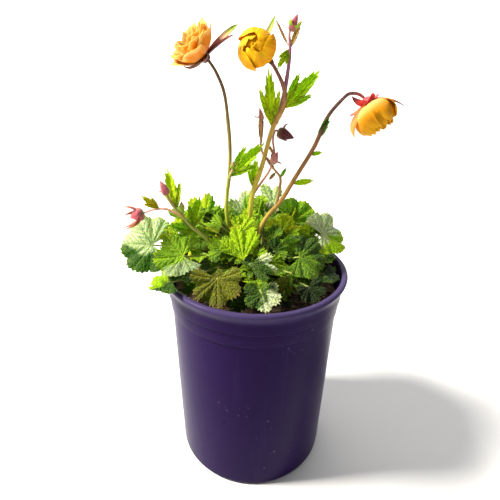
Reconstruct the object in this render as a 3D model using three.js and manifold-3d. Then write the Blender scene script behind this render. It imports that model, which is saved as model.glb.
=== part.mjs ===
// A geum in flower in a round nursery pot: the pot, its potting mix, the woody crown in it, the basal leaves,
// the leafy stems, three semi-double blooms and the buds. Millimetres, +Z up. The origin is the centre of the
// pot's flat underside, and the side that the plant shows best faces -Y. Everything but the pot is laid out
// in the frame of the plant, whose origin is the middle of the potting mix's surface.
import * as THREE from "three";
import { mergeVertices } from "three/addons/utils/BufferGeometryUtils.js";
import Module from "manifold-3d";

const wasm = await Module();
wasm.setup();

// Driving dimensions of the pot.
const LIP_RADIUS = 75;
const POT_HEIGHT = 182;
const WALL = 1.8;
const WALL_TOP_RADIUS = 68.8;
const WALL_FOOT_RADIUS = 66.1;
const FLOOR = 2.6;
const UPPER_BAND_FOOT = 162.8;
const LOWER_BAND_FOOT = 151.5;
const POT_SIDES = 36;
const DRAIN_RADIUS = 5;
const DRAIN_RING = 46;
const DRAIN_COUNT = 8;

// Driving dimensions of the planting.
const GAP = 0.3;
const SOIL_LEVEL = 164;
const CROWN_TOP = 5;
const SOCKET_DEPTH = 11;
const BLADE = 0.8;
const PETAL = 0.7;
const PETIOLE_RADIUS = 1.15;
const PEDICEL_END = 0.65;
const STEM_END = 1;

const UP = new THREE.Vector3(0, 0, 1);
const GOLDEN = 2.4;
const rad = THREE.MathUtils.degToRad;
const vec = (p) => new THREE.Vector3(...p);
const mix = (a, b, t) => a + (b - a) * t;
const range = (count) => Array.from({ length: count }, (_, i) => i);

// Solids and geometries

// A closed geometry as a solid: only positions are kept, shared corners merged and empty triangles dropped.
function solidOf(geometry) {
  const bare = new THREE.BufferGeometry().setAttribute("position", geometry.getAttribute("position").clone());
  if (geometry.index) bare.setIndex(geometry.index.clone());
  const merged = mergeVertices(bare, 1e-4);
  const corners = [];
  for (let i = 0; i < merged.index.count; i += 3) {
    const [a, b, c] = [0, 1, 2].map((k) => merged.index.getX(i + k));
    if (a !== b && b !== c && c !== a) corners.push(a, b, c);
  }
  const mesh = new wasm.Mesh({
    numProp: 3,
    vertProperties: new Float32Array(merged.attributes.position.array),
    triVerts: new Uint32Array(corners),
  });
  return new wasm.Manifold(mesh);
}

function solidFrom(points, index) {
  const geometry = new THREE.BufferGeometry();
  const numbers = points.flatMap((p) => [p.x, p.y, p.z]);
  geometry.setAttribute("position", new THREE.Float32BufferAttribute(numbers, 3));
  geometry.setIndex(index);
  return solidOf(geometry);
}

function geometryOf(solid) {
  const mesh = solid.getMesh();
  const geometry = new THREE.BufferGeometry();
  geometry.setAttribute("position", new THREE.BufferAttribute(new Float32Array(mesh.vertProperties), 3));
  geometry.setIndex(new THREE.BufferAttribute(new Uint32Array(mesh.triVerts), 1));
  const flat = geometry.toNonIndexed();
  flat.computeVertexNormals();
  return flat;
}

const join = (solids) => solids.reduce((a, b) => a.add(b));
const cut = (solid, cutters) => cutters.reduce((a, b) => a.subtract(b), solid);
const largest = (solid) => solid.decompose().sort((a, b) => b.volume() - a.volume())[0];
const placed = (solid, matrix) => solid.transform(matrix.elements);

function meshOf(name, solid, material) {
  const mesh = new THREE.Mesh(geometryOf(largest(solid)), material);
  mesh.name = name;
  return mesh;
}

function finish(colour, roughness) {
  return new THREE.MeshStandardMaterial({ color: colour, roughness, metalness: 0 });
}

const MATERIALS = {
  pot: finish(0x4a2a73, 0.35),
  soil: finish(0x2a2119, 0.95),
  crown: finish(0x5a4630, 0.9),
  leaf: finish(0x5f8f23, 0.55),
  stem: finish(0x7d6a35, 0.55),
  petals: finish(0xf6a51c, 0.5),
  calyx: finish(0x8a3340, 0.55),
  stamens: finish(0xe2b02a, 0.6),
};

// Building blocks of the plant

// A thin sheet as a closed solid: the same triangles on both faces, half the thickness out along each point's
// normal, and a strip round every edge that only one triangle uses.
function sheet(points, faces, thickness) {
  const normals = points.map(() => new THREE.Vector3());
  const uses = new Map();
  for (const face of faces) {
    const [a, b, c] = face.map((i) => points[i]);
    const normal = b.clone().sub(a).cross(c.clone().sub(a));
    face.forEach((i, k) => {
      normals[i].add(normal);
      uses.set(`${i},${face[(k + 1) % 3]}`, [i, face[(k + 1) % 3]]);
    });
  }
  const count = points.length;
  const sides = [0.5, -0.5].map((side) =>
    points.map((p, i) => p.clone().addScaledVector(normals[i].normalize(), side * thickness)),
  );
  const index = [];
  for (const [a, b, c] of faces) index.push(a, b, c, c + count, b + count, a + count);
  for (const [a, b] of uses.values()) {
    if (!uses.has(`${b},${a}`)) index.push(b, a, a + count, b, a + count, b + count);
  }
  return solidFrom(sides.flat(), index);
}

// A tapering tube with one ring of corners at every point of its route, closed with a fan at both ends. The
// rings are carried along the route without turning round it.
function tube(route, radii, sides) {
  const last = route.length - 1;
  const tangents = route.map((_, i) => {
    const [before, after] = [route[Math.max(i - 1, 0)], route[Math.min(i + 1, last)]];
    return after.clone().sub(before).normalize();
  });
  const normal = new THREE.Vector3(0, 1, 0);
  const points = [];
  const index = [];
  route.forEach((centre, i) => {
    normal.addScaledVector(tangents[i], -normal.dot(tangents[i])).normalize();
    const binormal = tangents[i].clone().cross(normal);
    const radius = mix(radii[0], radii[1], i / last);
    range(sides).forEach((k) => {
      const turn = (2 * Math.PI * k) / sides;
      const point = centre.clone().addScaledVector(normal, radius * Math.cos(turn));
      points.push(point.addScaledVector(binormal, radius * Math.sin(turn)));
      if (i === last) return;
      const [a, b] = [i * sides + k, i * sides + ((k + 1) % sides)];
      index.push(a, b, b + sides, a, b + sides, a + sides);
    });
  });
  const end = last * sides;
  for (let k = 1; k < sides - 1; k++) index.push(0, k + 1, k, end, end + k, end + k + 1);
  return solidFrom(points, index);
}

// A straight hole with the gap round a stalk of this radius, from low to high along +Z.
function hole(radius, low, high, sides = 6) {
  const across = (radius + GAP) / Math.cos(Math.PI / sides);
  const cutter = new THREE.CylinderGeometry(across, across, high - low, sides).rotateX(Math.PI / 2);
  return solidOf(cutter.translate(0, 0, (low + high) / 2));
}

// A body turned about +Z, as rows of [radius, height] from the axis at the bottom to the axis at the top.
function turned(rows, sides) {
  const outline = rows.map(([r, z]) => new THREE.Vector2(r, z));
  return solidOf(new THREE.LatheGeometry(outline, sides).rotateX(Math.PI / 2));
}

// The angles of the corners of a ring round +Z.
const turns = (sides) => range(sides).map((k) => (2 * Math.PI * k) / sides);

// A body from a point at the bottom, through rings of corners, to a point at the top.
function ringed(bottom, rings, top) {
  const sides = rings[0].length;
  const last = rings.length - 1;
  const points = [bottom, ...rings.flat(), top];
  const corner = (i, k) => 1 + i * sides + (k % sides);
  const index = [];
  range(sides).forEach((k) => {
    index.push(0, corner(0, k + 1), corner(0, k), points.length - 1, corner(last, k), corner(last, k + 1));
    range(last).forEach((i) => {
      const [a, b, c, d] = [corner(i, k), corner(i, k + 1), corner(i + 1, k + 1), corner(i + 1, k)];
      index.push(a, b, c, a, c, d);
    });
  });
  return solidFrom(points, index);
}

// A frame with +Z along an axis and +X on the side that looks up.
function axisFrame(base, axis) {
  const z = axis.clone().normalize();
  const x = UP.clone().addScaledVector(z, -UP.dot(z)).normalize();
  return new THREE.Matrix4().makeBasis(x, z.clone().cross(x), z).setPosition(base);
}

// The way out of the horizon by a tilt towards a compass heading: 0 is straight up, 90 is level.
function leaning(heading, tilt) {
  const [a, t] = [rad(heading), rad(tilt)];
  return new THREE.Vector3(Math.sin(t) * Math.cos(a), Math.sin(t) * Math.sin(a), Math.cos(t));
}

// The outline of one lobe up to the next notch, as [share of the lobe's width from its axis, share of its
// length].
const ROUND_LOBE = [[-0.5, 0.83], [-0.34, 0.96], [-0.19, 0.91], [0, 1], [0.19, 0.91], [0.34, 0.96]];
const PLAIN_LOBE = [[-0.5, 0.8], [-0.27, 0.96], [0, 1], [0.27, 0.96]];
const POINTED_LOBE = [[-0.5, 0.6], [-0.36, 0.84], [-0.22, 0.76], [0, 1], [0.22, 0.76], [0.36, 0.84]];
const NARROW_LOBE = [[-0.5, 0.55], [-0.3, 0.8], [0, 1], [0.3, 0.8]];

// A blade with lobes spread like a hand round the point where its stalk meets it. It lies in X and Y with its
// tip along +X. relief gives its height at a share of the reach and an angle, as a share of the reach.
function handBlade({ reach, spread, lengths, lobe, inner, relief }) {
  const lobeAngle = rad(spread) / lengths.length;
  const half = lobe.length / 2;
  const points = [new THREE.Vector3(0, 0, relief(0, 0) * reach)];
  const place = (angle, share) => {
    const u = share * reach;
    points.push(new THREE.Vector3(u * Math.cos(angle), u * Math.sin(angle), relief(share, angle) * reach));
    return points.length - 1;
  };
  const first = -rad(spread) / 2;
  const ring = [];
  const margin = [];
  lengths.forEach((length, j) => {
    const axis = first + (j + 0.5) * lobeAngle;
    const before = j ? Math.min(length, lengths[j - 1]) : length;
    lobe.forEach(([across, along], k) => {
      margin.push(place(axis + across * lobeAngle, along * (k ? length : before)));
      if (k % half === 0) ring.push(place(axis + across * lobeAngle, inner * (k ? length : before)));
    });
  });
  const end = lengths[lengths.length - 1];
  margin.push(place(-first, lobe[0][1] * end));
  ring.push(place(-first, inner * end));
  const faces = [];
  for (let i = 0; i + 1 < ring.length; i++) {
    const [a, b] = [ring[i], ring[i + 1]];
    const edge = margin.slice(half * i, half * i + half + 1);
    faces.push([0, a, b], [b, edge[half - 1], edge[half]], [a, edge[half - 1], b]);
    for (let k = 0; k + 1 < half; k++) faces.push([a, edge[k], edge[k + 1]]);
  }
  return sheet(points, faces, BLADE);
}

// The pot

// Outer wall from the underside up to the lip, then the inner wall back down to the floor.
function pot() {
  const wallRadius = (z) => mix(WALL_FOOT_RADIUS, WALL_TOP_RADIUS, z / LOWER_BAND_FOOT);
  const shell = turned([
    [0, 0],
    [WALL_FOOT_RADIUS - 2.8, 0],
    [WALL_FOOT_RADIUS - 0.9, 1.1],
    [wallRadius(4), 4],
    [wallRadius(LOWER_BAND_FOOT), LOWER_BAND_FOOT],
    [wallRadius(LOWER_BAND_FOOT) + 1.1, LOWER_BAND_FOOT + 0.5],
    [70.2, UPPER_BAND_FOOT],
    [71.3, UPPER_BAND_FOOT + 0.5],
    [71.6, POT_HEIGHT - 9.6],
    [73.4, POT_HEIGHT - 6],
    [LIP_RADIUS, POT_HEIGHT - 1.6],
    [LIP_RADIUS - 0.9, POT_HEIGHT],
    [LIP_RADIUS - 4.6, POT_HEIGHT - 0.3],
    [70 - WALL, UPPER_BAND_FOOT + 5],
    [wallRadius(LOWER_BAND_FOOT) - WALL, LOWER_BAND_FOOT - 3],
    [wallRadius(6) - WALL, 6],
    [WALL_FOOT_RADIUS - 4.4, FLOOR],
    [0, FLOOR],
  ], POT_SIDES);
  const drains = turns(DRAIN_COUNT).map((around) => {
    const turn = around + Math.PI / DRAIN_COUNT;
    const drain = new THREE.CylinderGeometry(DRAIN_RADIUS, DRAIN_RADIUS, 4 * FLOOR, 7).rotateX(Math.PI / 2);
    return solidOf(drain.translate(DRAIN_RING * Math.cos(turn), DRAIN_RING * Math.sin(turn), 0));
  });
  return cut(shell, drains);
}

// The potting mix: fills the pot to just under the rim, with a lumpy top, and is hollowed for the crown. Its
// rows are [radius, height over the surface], and the ones from the wall inwards carry the lumps.
function soil(crownSolid) {
  const buried = [
    [WALL_FOOT_RADIUS - 4.4 - 2 * GAP, FLOOR + GAP - SOIL_LEVEL],
    [WALL_FOOT_RADIUS - WALL - GAP, 8 - SOIL_LEVEL],
    [WALL_TOP_RADIUS - WALL - 2 * GAP, LOWER_BAND_FOOT - SOIL_LEVEL - 4],
    [69.6 - WALL - 3 * GAP, -2],
  ];
  const surface = [58, 46, 34, 22].map((r) => [r, 0]);
  const swells = (x, y) => 1.3 * Math.sin(0.21 * x + 1.3) * Math.cos(0.17 * y);
  const lumps = (x, y) => swells(x, y) + 0.8 * Math.sin(0.43 * y - 0.31 * x);
  const rings = [...buried, ...surface].map(([r, z], i) =>
    turns(POT_SIDES / 2).map((turn) => {
      const [x, y] = [r * Math.cos(turn), r * Math.sin(turn)];
      return new THREE.Vector3(x, y, i < buried.length ? z : z + lumps(x, y));
    }),
  );
  return ringed(new THREE.Vector3(0, 0, buried[0][1]), rings, new THREE.Vector3()).subtract(crownSolid);
}

// The crown: a knobbly mound in the potting mix, made larger all round by grow.
function crown(grow) {
  const rings = [[14, -15.5], [20, -9], [21, -2], [19.5, 2], [10, 4.4]].map(([r, z], i) =>
    turns(12).map((turn) => {
      const around = r + 0.6 * Math.cos(5 * turn + i) + 1.3 * grow;
      const lift = z > 0 ? grow + 0.3 * Math.sin(3 * turn) : -grow;
      return new THREE.Vector3(around * Math.cos(turn), around * Math.sin(turn), z + lift);
    }),
  );
  return ringed(new THREE.Vector3(0, 0, -16 - grow), rings, new THREE.Vector3(0, 0, CROWN_TOP + grow));
}

// Basal leaves

// Feet stand on the crown in three rings.
const FOOT_RINGS = [4.8, 9.8, 15.2];

// Each row: where the stalk meets the blade (x, y, height), the heading of the tip, the way the upper side
// leans (heading and tilt), the reach from the stalk to the tip, the spread of the lobes, and the ring and
// heading of the leaf's foot.
const BASAL_LEAVES = {
  leaf_far_left: [-80, -14, 39.5, 180, 270, 55, 26, 290, 2, 178],
  leaf_left: [-54, -29, 38, 190, 262, 36, 22, 290, 1, 212],
  leaf_left_rim: [-60, -43, 24, 165, 240, 14, 18, 270, 2, 220],
  leaf_front_brown: [-27, -46, 29, 272, 268, 50, 22, 250, 2, 244],
  leaf_front_bright: [-8.6, -36, 40, 95, 268, 62, 26.5, 115, 1, 262],
  leaf_front_drooping: [-4, -45, 41, 350, 280, 34, 21, 105, 1, 288],
  leaf_front_rim: [5, -54, 22.5, 280, 275, 26, 15.5, 290, 2, 268],
  leaf_front_pointed: [26.5, -40, 32, 275, 285, 76, 20, 80, 1, 312],
  leaf_front_dark: [39, -41, 22, 300, 290, 40, 13.5, 240, 2, 315],
  leaf_right_dark: [53, -18, 20.5, 350, 300, 8, 13.5, 290, 2, 331],
  leaf_right_low: [14, -31, 18, 300, 280, 10, 13, 260, 2, 284],
  leaf_right_middle: [50, -3, 29, 0, 285, 4, 14, 280, 2, 352],
  leaf_right: [53, 3, 45, 20, 300, 42, 22, 270, 1, 4],
  leaf_right_shade: [33.5, -19, 35, 352, 282, 42, 21.5, 250, 1, 338],
  leaf_right_back: [28, 12, 52, 68, 282, 66, 22.5, 200, 1, 34],
  leaf_middle_rugose: [-7, 18, 53, 92, 268, 62, 23, 250, 0, 115],
  leaf_middle_pale: [13.5, 26.5, 60, 94, 262, 68, 21, 130, 0, 52],
  leaf_middle_yellow: [-13, -12, 50, 60, 262, 50, 17, 150, 0, 236],
  leaf_left_yellow: [-27, -8, 54, 176, 262, 16, 15, 170, 0, 184],
  leaf_left_inner: [-25, -24, 40.5, 112, 255, 58, 14, 230, 1, 238],
  leaf_left_upper: [-43, 14, 51.5, 105, 262, 60, 22, 250, 1, 152],
  leaf_back_left: [-48, 28, 30, 148, 150, 10, 21.5, 290, 2, 138],
  leaf_back_middle: [-16, 50, 30, 106, 100, 14, 21.5, 290, 2, 106],
  leaf_back_right: [22, 48, 31, 66, 70, 12, 21.5, 290, 2, 64],
  leaf_back_far_right: [50, 26, 28, 28, 30, 10, 20, 290, 2, 26],
  leaf_left_deep: [-41, 7, 25, 182, 255, 10, 16, 260, 2, 158],
  leaf_middle_right: [20, -2, 47, 78, 265, 60, 17, 230, 0, 350],
  leaf_right_front: [33.5, -27, 15.5, 300, 290, 6, 12.5, 270, 2, 299],
  leaf_back_inner: [2, 34, 46, 88, 90, 20, 19, 280, 1, 88],
  leaf_right_inner: [14, -18, 39, 60, 275, 62, 13, 190, 2, 9],
  leaf_back_high: [-27, 32, 51, 120, 110, 34, 18, 240, 1, 120],
  leaf_back_top: [31, 34, 49, 52, 55, 36, 17, 240, 1, 62],
  leaf_right_top: [46, 20, 42, 20, 25, 30, 15.5, 240, 2, 45],
};

// Height of a basal blade: a shallow bowl with a fold along its middle, pleats along its lobes, a waved
// margin and a drooping tip.
function basalRelief(index, lobeAngle) {
  const phase = GOLDEN * index;
  return (share, angle) => {
    const bowl = 0.1 * share ** 2 + 0.14 * share * Math.abs(Math.sin(angle));
    const pleats = 0.06 * share * Math.cos((2 * Math.PI * angle) / lobeAngle);
    const waves = 0.1 * share ** 3 * Math.sin(3 * angle + phase);
    return bowl + pleats + waves - 0.14 * (share * Math.cos(angle)) ** 2;
  };
}

function basalLeaf(row, index) {
  const [x, y, height, heading, faceHeading, faceTilt, reach, spread, ring, footHeading] = row;
  const attach = new THREE.Vector3(x, y, height);
  const foot = leaning(footHeading, 90).multiplyScalar(FOOT_RINGS[ring]);
  const start = foot.clone().setZ(CROWN_TOP);
  const straight = attach.clone().sub(start);
  const arrival = straight.clone().setZ(0.45 * straight.z).normalize();
  const rise = start.clone().addScaledVector(UP, 0.5 * straight.length());
  const last = attach.clone().addScaledVector(arrival, -0.4 * straight.length());
  const arch = new THREE.CubicBezierCurve3(start, rise, last, attach);
  const route = [foot.clone().setZ(-SOCKET_DEPTH), ...arch.getPoints(4)];
  const stalk = tube(route, [PETIOLE_RADIUS, 0.65 * PETIOLE_RADIUS], 4);
  const lobes = spread > 230 ? 5 : 3;
  const middle = (lobes - 1) / 2;
  const blade = handBlade({
    reach,
    spread,
    lengths: range(lobes).map((j) => 1 - 0.18 * ((j - middle) / middle) ** 2),
    lobe: spread < 160 ? POINTED_LOBE : reach > 21.8 ? ROUND_LOBE : PLAIN_LOBE,
    inner: 0.5,
    relief: basalRelief(index, rad(spread) / lobes),
  });
  const face = leaning(faceHeading, faceTilt);
  const level = leaning(heading, 90);
  const tip = level.addScaledVector(face, -level.dot(face)).normalize();
  const frame = new THREE.Matrix4().makeBasis(tip, face.clone().cross(tip), face).setPosition(attach);
  return { solid: stalk.add(placed(blade, frame)), foot };
}

// Stems

// The last two points of a stalk that ends inside a bloom or bud along its axis.
function ending({ base, axis }) {
  const along = vec(axis).normalize();
  return [-2, 2].map((reach) => vec(base).addScaledVector(along, reach));
}

// A stem leaf or bract from the point where it leaves the stem to its tip, with its upper side towards a way.
function stemLeaf({ from, to, spread = 60, lobes = 3, toward = [0, -1, 0.3], bend = 0.1 }) {
  const start = vec(from);
  const tip = vec(to).sub(start);
  const reach = tip.length();
  tip.normalize();
  const side = vec(toward).cross(tip).normalize();
  const upper = tip.clone().cross(side);
  const blade = handBlade({
    reach,
    spread,
    lengths: lobes === 3 ? [0.8, 1, 0.8] : [1],
    lobe: reach > 26 ? POINTED_LOBE : NARROW_LOBE,
    inner: 0.3,
    relief: (share, angle) => bend * (share ** 2 - share) + 0.25 * share * Math.abs(Math.sin(angle)),
  });
  return placed(blade, new THREE.Matrix4().makeBasis(tip, side, upper).setPosition(start));
}

// Blooms and buds, each with the point where its stalk enters it and its axis. Sepals are given as [heading
// round the axis from the side that looks up, width, distance of the tip from the axis, height of the tip].
const BLOOMS = {
  left: {
    base: [-35.4, 0, 169.4],
    axis: [-0.66, -0.36, 0.66],
    sepals: [
      [-14, 4.6, 29.3, 0],
      [-112, 4, 10.5, 4.5],
      [152, 4, 18.6, 18.6],
      [-165, 4, 15.5, 11],
      [-31, 4, 23.8, -0.6],
    ],
  },
  middle: {
    base: [-0.6, 9.8, 173.6],
    axis: [-0.27, -0.91, 0.31],
    sepals: [
      [-23, 4.4, 24, 7.4],
      [-54, 3.4, 13, 6],
      [172, 2.8, 13.6, 9.5],
      [-122, 3.8, 14, 6],
      [75, 3.8, 15, 5],
    ],
  },
  right: {
    base: [72.3, 2, 146.9],
    axis: [0.58, -0.45, -0.68],
    sepals: [
      [-50, 6, 10, 1.5],
      [-48, 4, 20, 21.4],
      [138, 6, 21, 17.8],
      [166, 4.5, 14.3, 1.5],
      [25, 5, 8, 1.2],
      [100, 4.5, 10.5, -5.5],
    ],
  },
};

const BUDS = {
  bud_top: { base: [18.7, 2, 187.6], axis: [0.38, 0, 0.92], length: 10, radius: 2.3, sepals: [] },
  bud_hooked: {
    base: [13.8, 8, 123.2],
    axis: [0.93, -0.1, -0.32],
    length: 12.5,
    radius: 4.3,
    sepals: [[0, 4, 7.5, 5], [120, 3.6, 5.5, 9], [-120, 3.6, 5.5, 9]],
  },
  bud_slender: {
    base: [2, 6, 131.5],
    axis: [-0.25, 0, 0.97],
    length: 8.5,
    radius: 1.9,
    sepals: [[200, 2.2, 4.5, 5]],
  },
  bud_side: {
    base: [10.4, -2, 102.2],
    axis: [0.38, 0, 0.92],
    length: 9,
    radius: 2.9,
    sepals: [[-60, 3, 5, 8], [60, 3, 6, 5], [180, 3, 6, 3]],
  },
  bud_left_upper: {
    base: [-64.2, -21, 82.6],
    axis: [-0.38, 0, 0.92],
    length: 10.5,
    radius: 3,
    sepals: [[150, 3, 5.5, 4]],
  },
  bud_left_open: {
    base: [-83.4, -18, 66.9],
    axis: [-0.93, -0.2, -0.3],
    length: 10,
    radius: 5,
    sepals: [[0, 4.2, 9, 12], [180, 4.2, 6, 20], [145, 3.6, 12, 19], [-120, 4, 9, 10]],
  },
  bud_left_small: { base: [-54.2, -19.5, 70.6], axis: [0, -0.15, 1], length: 7, radius: 2.1, sepals: [] },
  bud_axil: { base: [-18.6, -3.6, 98.5], axis: [0.1, -0.3, 0.95], length: 5.5, radius: 1.9, sepals: [] },
};

// Leafy stems: the foot on the crown, the radii at foot and end, the route above the crown, the bloom or bud
// that each one ends in, its side branches and its leaves.
const STEMS = {
  stem_left: {
    foot: [-9.8, 0.4],
    radii: [1.8, STEM_END],
    route: [[-18, 0.5, 32], [-23.2, 0, 60.5], [-23, 0, 77], [-21.3, 0, 92], [-20.7, 0, 110.7],
      [-22, 0, 130], [-24.5, 0, 149], [-29.4, 0.5, 161]],
    into: BLOOMS.left,
    branches: [
      { route: [[-21.8, 0, 88], [-20.3, -2, 93.5]], into: BUDS.bud_axil, radii: [0.9, PEDICEL_END] },
    ],
    leaves: [{ from: [-21.4, 0, 90.5], to: [4.6, -5, 118], spread: 42, bend: 0.05 }],
  },
  stem_middle: {
    foot: [0, 0],
    radii: [2.2, STEM_END],
    route: [[-3, 0, 30], [-5, 0, 60], [-3.3, 0, 79.6], [2.9, 0, 99.6], [9.2, 0, 125.5], [15.8, 0, 139],
      [17.3, 0, 147], [15.3, 0.2, 155], [11.6, 2, 162], [7.5, 7.5, 168], [2, 14.6, 171.6]],
    into: BLOOMS.middle,
    branches: [
      { route: [[11.4, 0, 130], [15.6, 1.5, 144], [17.2, 2, 154], [18.4, 2, 165], [19, 2, 176]],
        into: BUDS.bud_top, radii: [2, PEDICEL_END] },
      { route: [[-3.6, 0, 77], [1.4, 4, 84], [8.5, 8, 94], [12, 8, 105], [10.4, 8, 117]],
        into: BUDS.bud_hooked, radii: [1.1, PEDICEL_END] },
      { route: [[4.4, 0, 106], [1.6, 3, 113], [2.2, 6, 122]],
        into: BUDS.bud_slender, radii: [0.9, PEDICEL_END] },
    ],
    leaves: [
      { from: [17, 0, 140], to: [39.2, -5, 165.6], spread: 58 },
      { from: [9.4, 0, 126.5], to: [4.6, -5, 167.5], spread: 36 },
      { from: [19, 2, 177.5], to: [10.6, -1, 164.5], spread: 46 },
      { from: [19, 2, 177], to: [25.8, 10, 195], spread: 20, lobes: 1 },
      { from: [19, 2, 177], to: [8, 3, 195], spread: 10, lobes: 1 },
      { from: [-3, 0, 81.5], to: [-1.5, 5, 106], spread: 44 },
    ],
  },
  stem_right: {
    foot: [1.5, -4.8],
    radii: [2, STEM_END],
    route: [[-1.5, -7, 26], [0.6, -7.5, 45], [7.2, -5, 60.4], [18, -4, 74.5], [27, -4, 91.5],
      [37.6, -4, 111.2], [41.8, -4, 121.2], [44.9, -4, 130.9], [47.6, -4, 136.9], [51.1, -4, 141.9],
      [55.4, -4, 146.9], [59.4, -3, 150.4], [63.6, -1.5, 151], [68, 0.8, 150]],
    into: BLOOMS.right,
    branches: [{ route: [[14.4, -4, 70], [16.4, -3, 82], [16.8, -2, 91.4], [12.7, -2, 97]],
      into: BUDS.bud_side, radii: [1.2, PEDICEL_END] }],
    leaves: [
      { from: [41, -4, 119.5], to: [48, -7.5, 137], spread: 32, lobes: 1 },
      { from: [36.5, -4, 109.5], to: [45.5, -7, 112.2], spread: 40, lobes: 1 },
      { from: [24.6, -4, 88], to: [42, -8, 92], spread: 32, lobes: 1 },
    ],
  },
  stem_low: {
    foot: [-14.7, -4],
    radii: [1.8, PEDICEL_END],
    route: [[-19, -6.5, 20], [-27.5, -11, 34], [-38.7, -18, 49], [-48, -19, 57.5], [-57, -20, 69.5],
      [-61.6, -21, 76]],
    into: BUDS.bud_left_upper,
    branches: [
      { route: [[-53.5, -19.6, 64.8], [-60, -19.5, 68.5], [-66.5, -19, 71], [-75, -17.5, 69.8]],
        into: BUDS.bud_left_open, radii: [1.1, PEDICEL_END] },
      { route: [[-48.5, -19, 58.2], [-53.4, -19.5, 65.4]],
        into: BUDS.bud_left_small, radii: [0.9, PEDICEL_END] },
    ],
    leaves: [
      { from: [-58, -20.2, 70.9], to: [-66.5, -7, 99], spread: 46 },
      { from: [-71, -18.3, 70.6], to: [-84, -20, 81.5], spread: 46 },
      { from: [-44, -18.5, 54.2], to: [-66, -25, 61], spread: 60 },
      { from: [-47, -18.9, 56.7], to: [-42, -11, 80], spread: 56 },
    ],
  },
};

function leafyStem({ foot, radii, route, into, branches, leaves }) {
  const [x, y] = foot;
  const main = [[x, y, -SOCKET_DEPTH], [x, y, CROWN_TOP], ...route].map(vec);
  const arms = branches.map((arm) => tube([...arm.route.map(vec), ...ending(arm.into)], arm.radii, 5));
  return join([tube([...main, ...ending(into)], radii, 5), ...arms, ...leaves.map(stemLeaf)]);
}

// A bud in its own frame: a pointed body on a stalk that ends 2 mm up inside it, with any open sepals.
function bud({ length, radius, sepals }) {
  const shares = [[0.8, 0], [1, 0.34], [0.62, 0.7], [0.14, 1], [0, 1]];
  const foot = -0.3;
  const rows = [[0, foot], ...shares.map(([r, z]) => [r * radius, z ? z * length : foot])];
  const body = turned(rows, 7);
  return join([body, ...sepals.map(sepal)]).subtract(hole(PEDICEL_END + 0.08, -2, 2.4));
}

// Blooms

// One petal in the frame of its bloom: its middle follows a curve in [distance from the axis, height], and it
// wraps round the axis by a share of its half angle.
function petal({ curve, azimuth, halfAngle, cup, ruffle, skew, phase }) {
  const [rows, columns] = [3, 3];
  const path = new THREE.CubicBezierCurve(...curve.map(([r, z]) => new THREE.Vector2(r, z)));
  const widths = [0.36, 0.72, 1, 0.84];
  const points = [];
  const faces = [];
  for (let i = 0; i <= rows; i++) {
    for (let k = 0; k <= columns; k++) {
      const across = (2 * k) / columns - 1;
      const along = (i / rows) * (1 - 0.14 * across ** 2);
      const middle = path.getPoint(along);
      const radius = middle.x * (1 + skew * across * along - cup * (across * along) ** 2);
      const angle = rad(azimuth + across * halfAngle * widths[i]);
      const wave = ruffle * along ** 2 * Math.sin(1.6 * Math.PI * across + phase);
      const out = radius + 0.6 * wave;
      points.push(new THREE.Vector3(out * Math.cos(angle), out * Math.sin(angle), middle.y + wave));
      if (i === rows || k === columns) continue;
      const [a, b] = [points.length - 1, points.length - 1 + columns + 1];
      faces.push([a, a + 1, b + 1], [a, b + 1, b]);
    }
  }
  return sheet(points, faces, PETAL);
}

// A narrow pointed sepal in the frame of its bloom or bud, out of the cup and up to its tip.
function sepal([azimuth, width, far, high]) {
  const corners = [[1.6, 2], [0.3 * far + 1, 2.2], [0.8 * far + 2, 0.3 * high + 1], [far, high]];
  const path = new THREE.CubicBezierCurve(...corners.map(([r, z]) => new THREE.Vector2(r, z)));
  const [out, side] = [leaning(azimuth, 90), leaning(azimuth + 90, 90)];
  const shares = [0.8, 1, 0.7];
  const points = [];
  shares.forEach((share, i) => {
    const { x: r, y: z } = path.getPoint(i / shares.length);
    const middle = out.clone().multiplyScalar(r).setZ(z);
    for (const across of [-0.5, 0.5]) {
      points.push(middle.clone().addScaledVector(side, across * share * width));
    }
  });
  points.push(out.clone().multiplyScalar(far).setZ(high));
  return sheet(points, [[0, 2, 3], [0, 3, 1], [2, 4, 5], [2, 5, 3], [4, 6, 5]], PETAL + 0.1);
}

const PETAL_LAYERS = {
  left: [
    { count: 5, start: 10, halfAngle: 44, ruffle: 1.2,
      curve: [[2.5, 4.9], [9.5, 5.5], [13.5, 11], [16.4, 18]] },
    { count: 4, start: 46, halfAngle: 48, ruffle: 1.1,
      curve: [[2.3, 6.3], [6, 7], [8.5, 12.5], [10.5, 19.8]] },
  ],
  middle: [
    { count: 5, start: 0, halfAngle: 46, ruffle: 0.7,
      curve: [[2.5, 4.9], [13.2, 4.5], [14.6, 13.5], [6, 18.6]] },
    { count: 4, start: 30, halfAngle: 50, ruffle: 0.7,
      curve: [[2.3, 6.3], [9, 6.4], [10.5, 14], [3.2, 17.4]] },
  ],
  right: [
    { count: 5, start: 20, halfAngle: 46, ruffle: 1,
      curve: [[2.5, 4.9], [8.5, 4.4], [17.5, 12.5], [5.5, 23.2]] },
    { count: 3, start: 50, halfAngle: 58, ruffle: 0.9,
      curve: [[2.3, 6.3], [6, 6.4], [13, 12.5], [3, 21.6]] },
  ],
};

function petals(layers) {
  const core = turned([[0, 3.6], [2.8, 3.6], [3.6, 4.6], [3.2, 7], [0, 7]], 8);
  const all = layers.flatMap((layer, j) =>
    range(layer.count).map((k) => {
      const azimuth = layer.start + (360 * k) / layer.count;
      return petal({ ...layer, azimuth, cup: 0.05, skew: 0.1, phase: GOLDEN * (k + 3 * j) });
    }),
  );
  return join([core, ...all]).subtract(hole(1.4, 5.4, 11));
}

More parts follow.
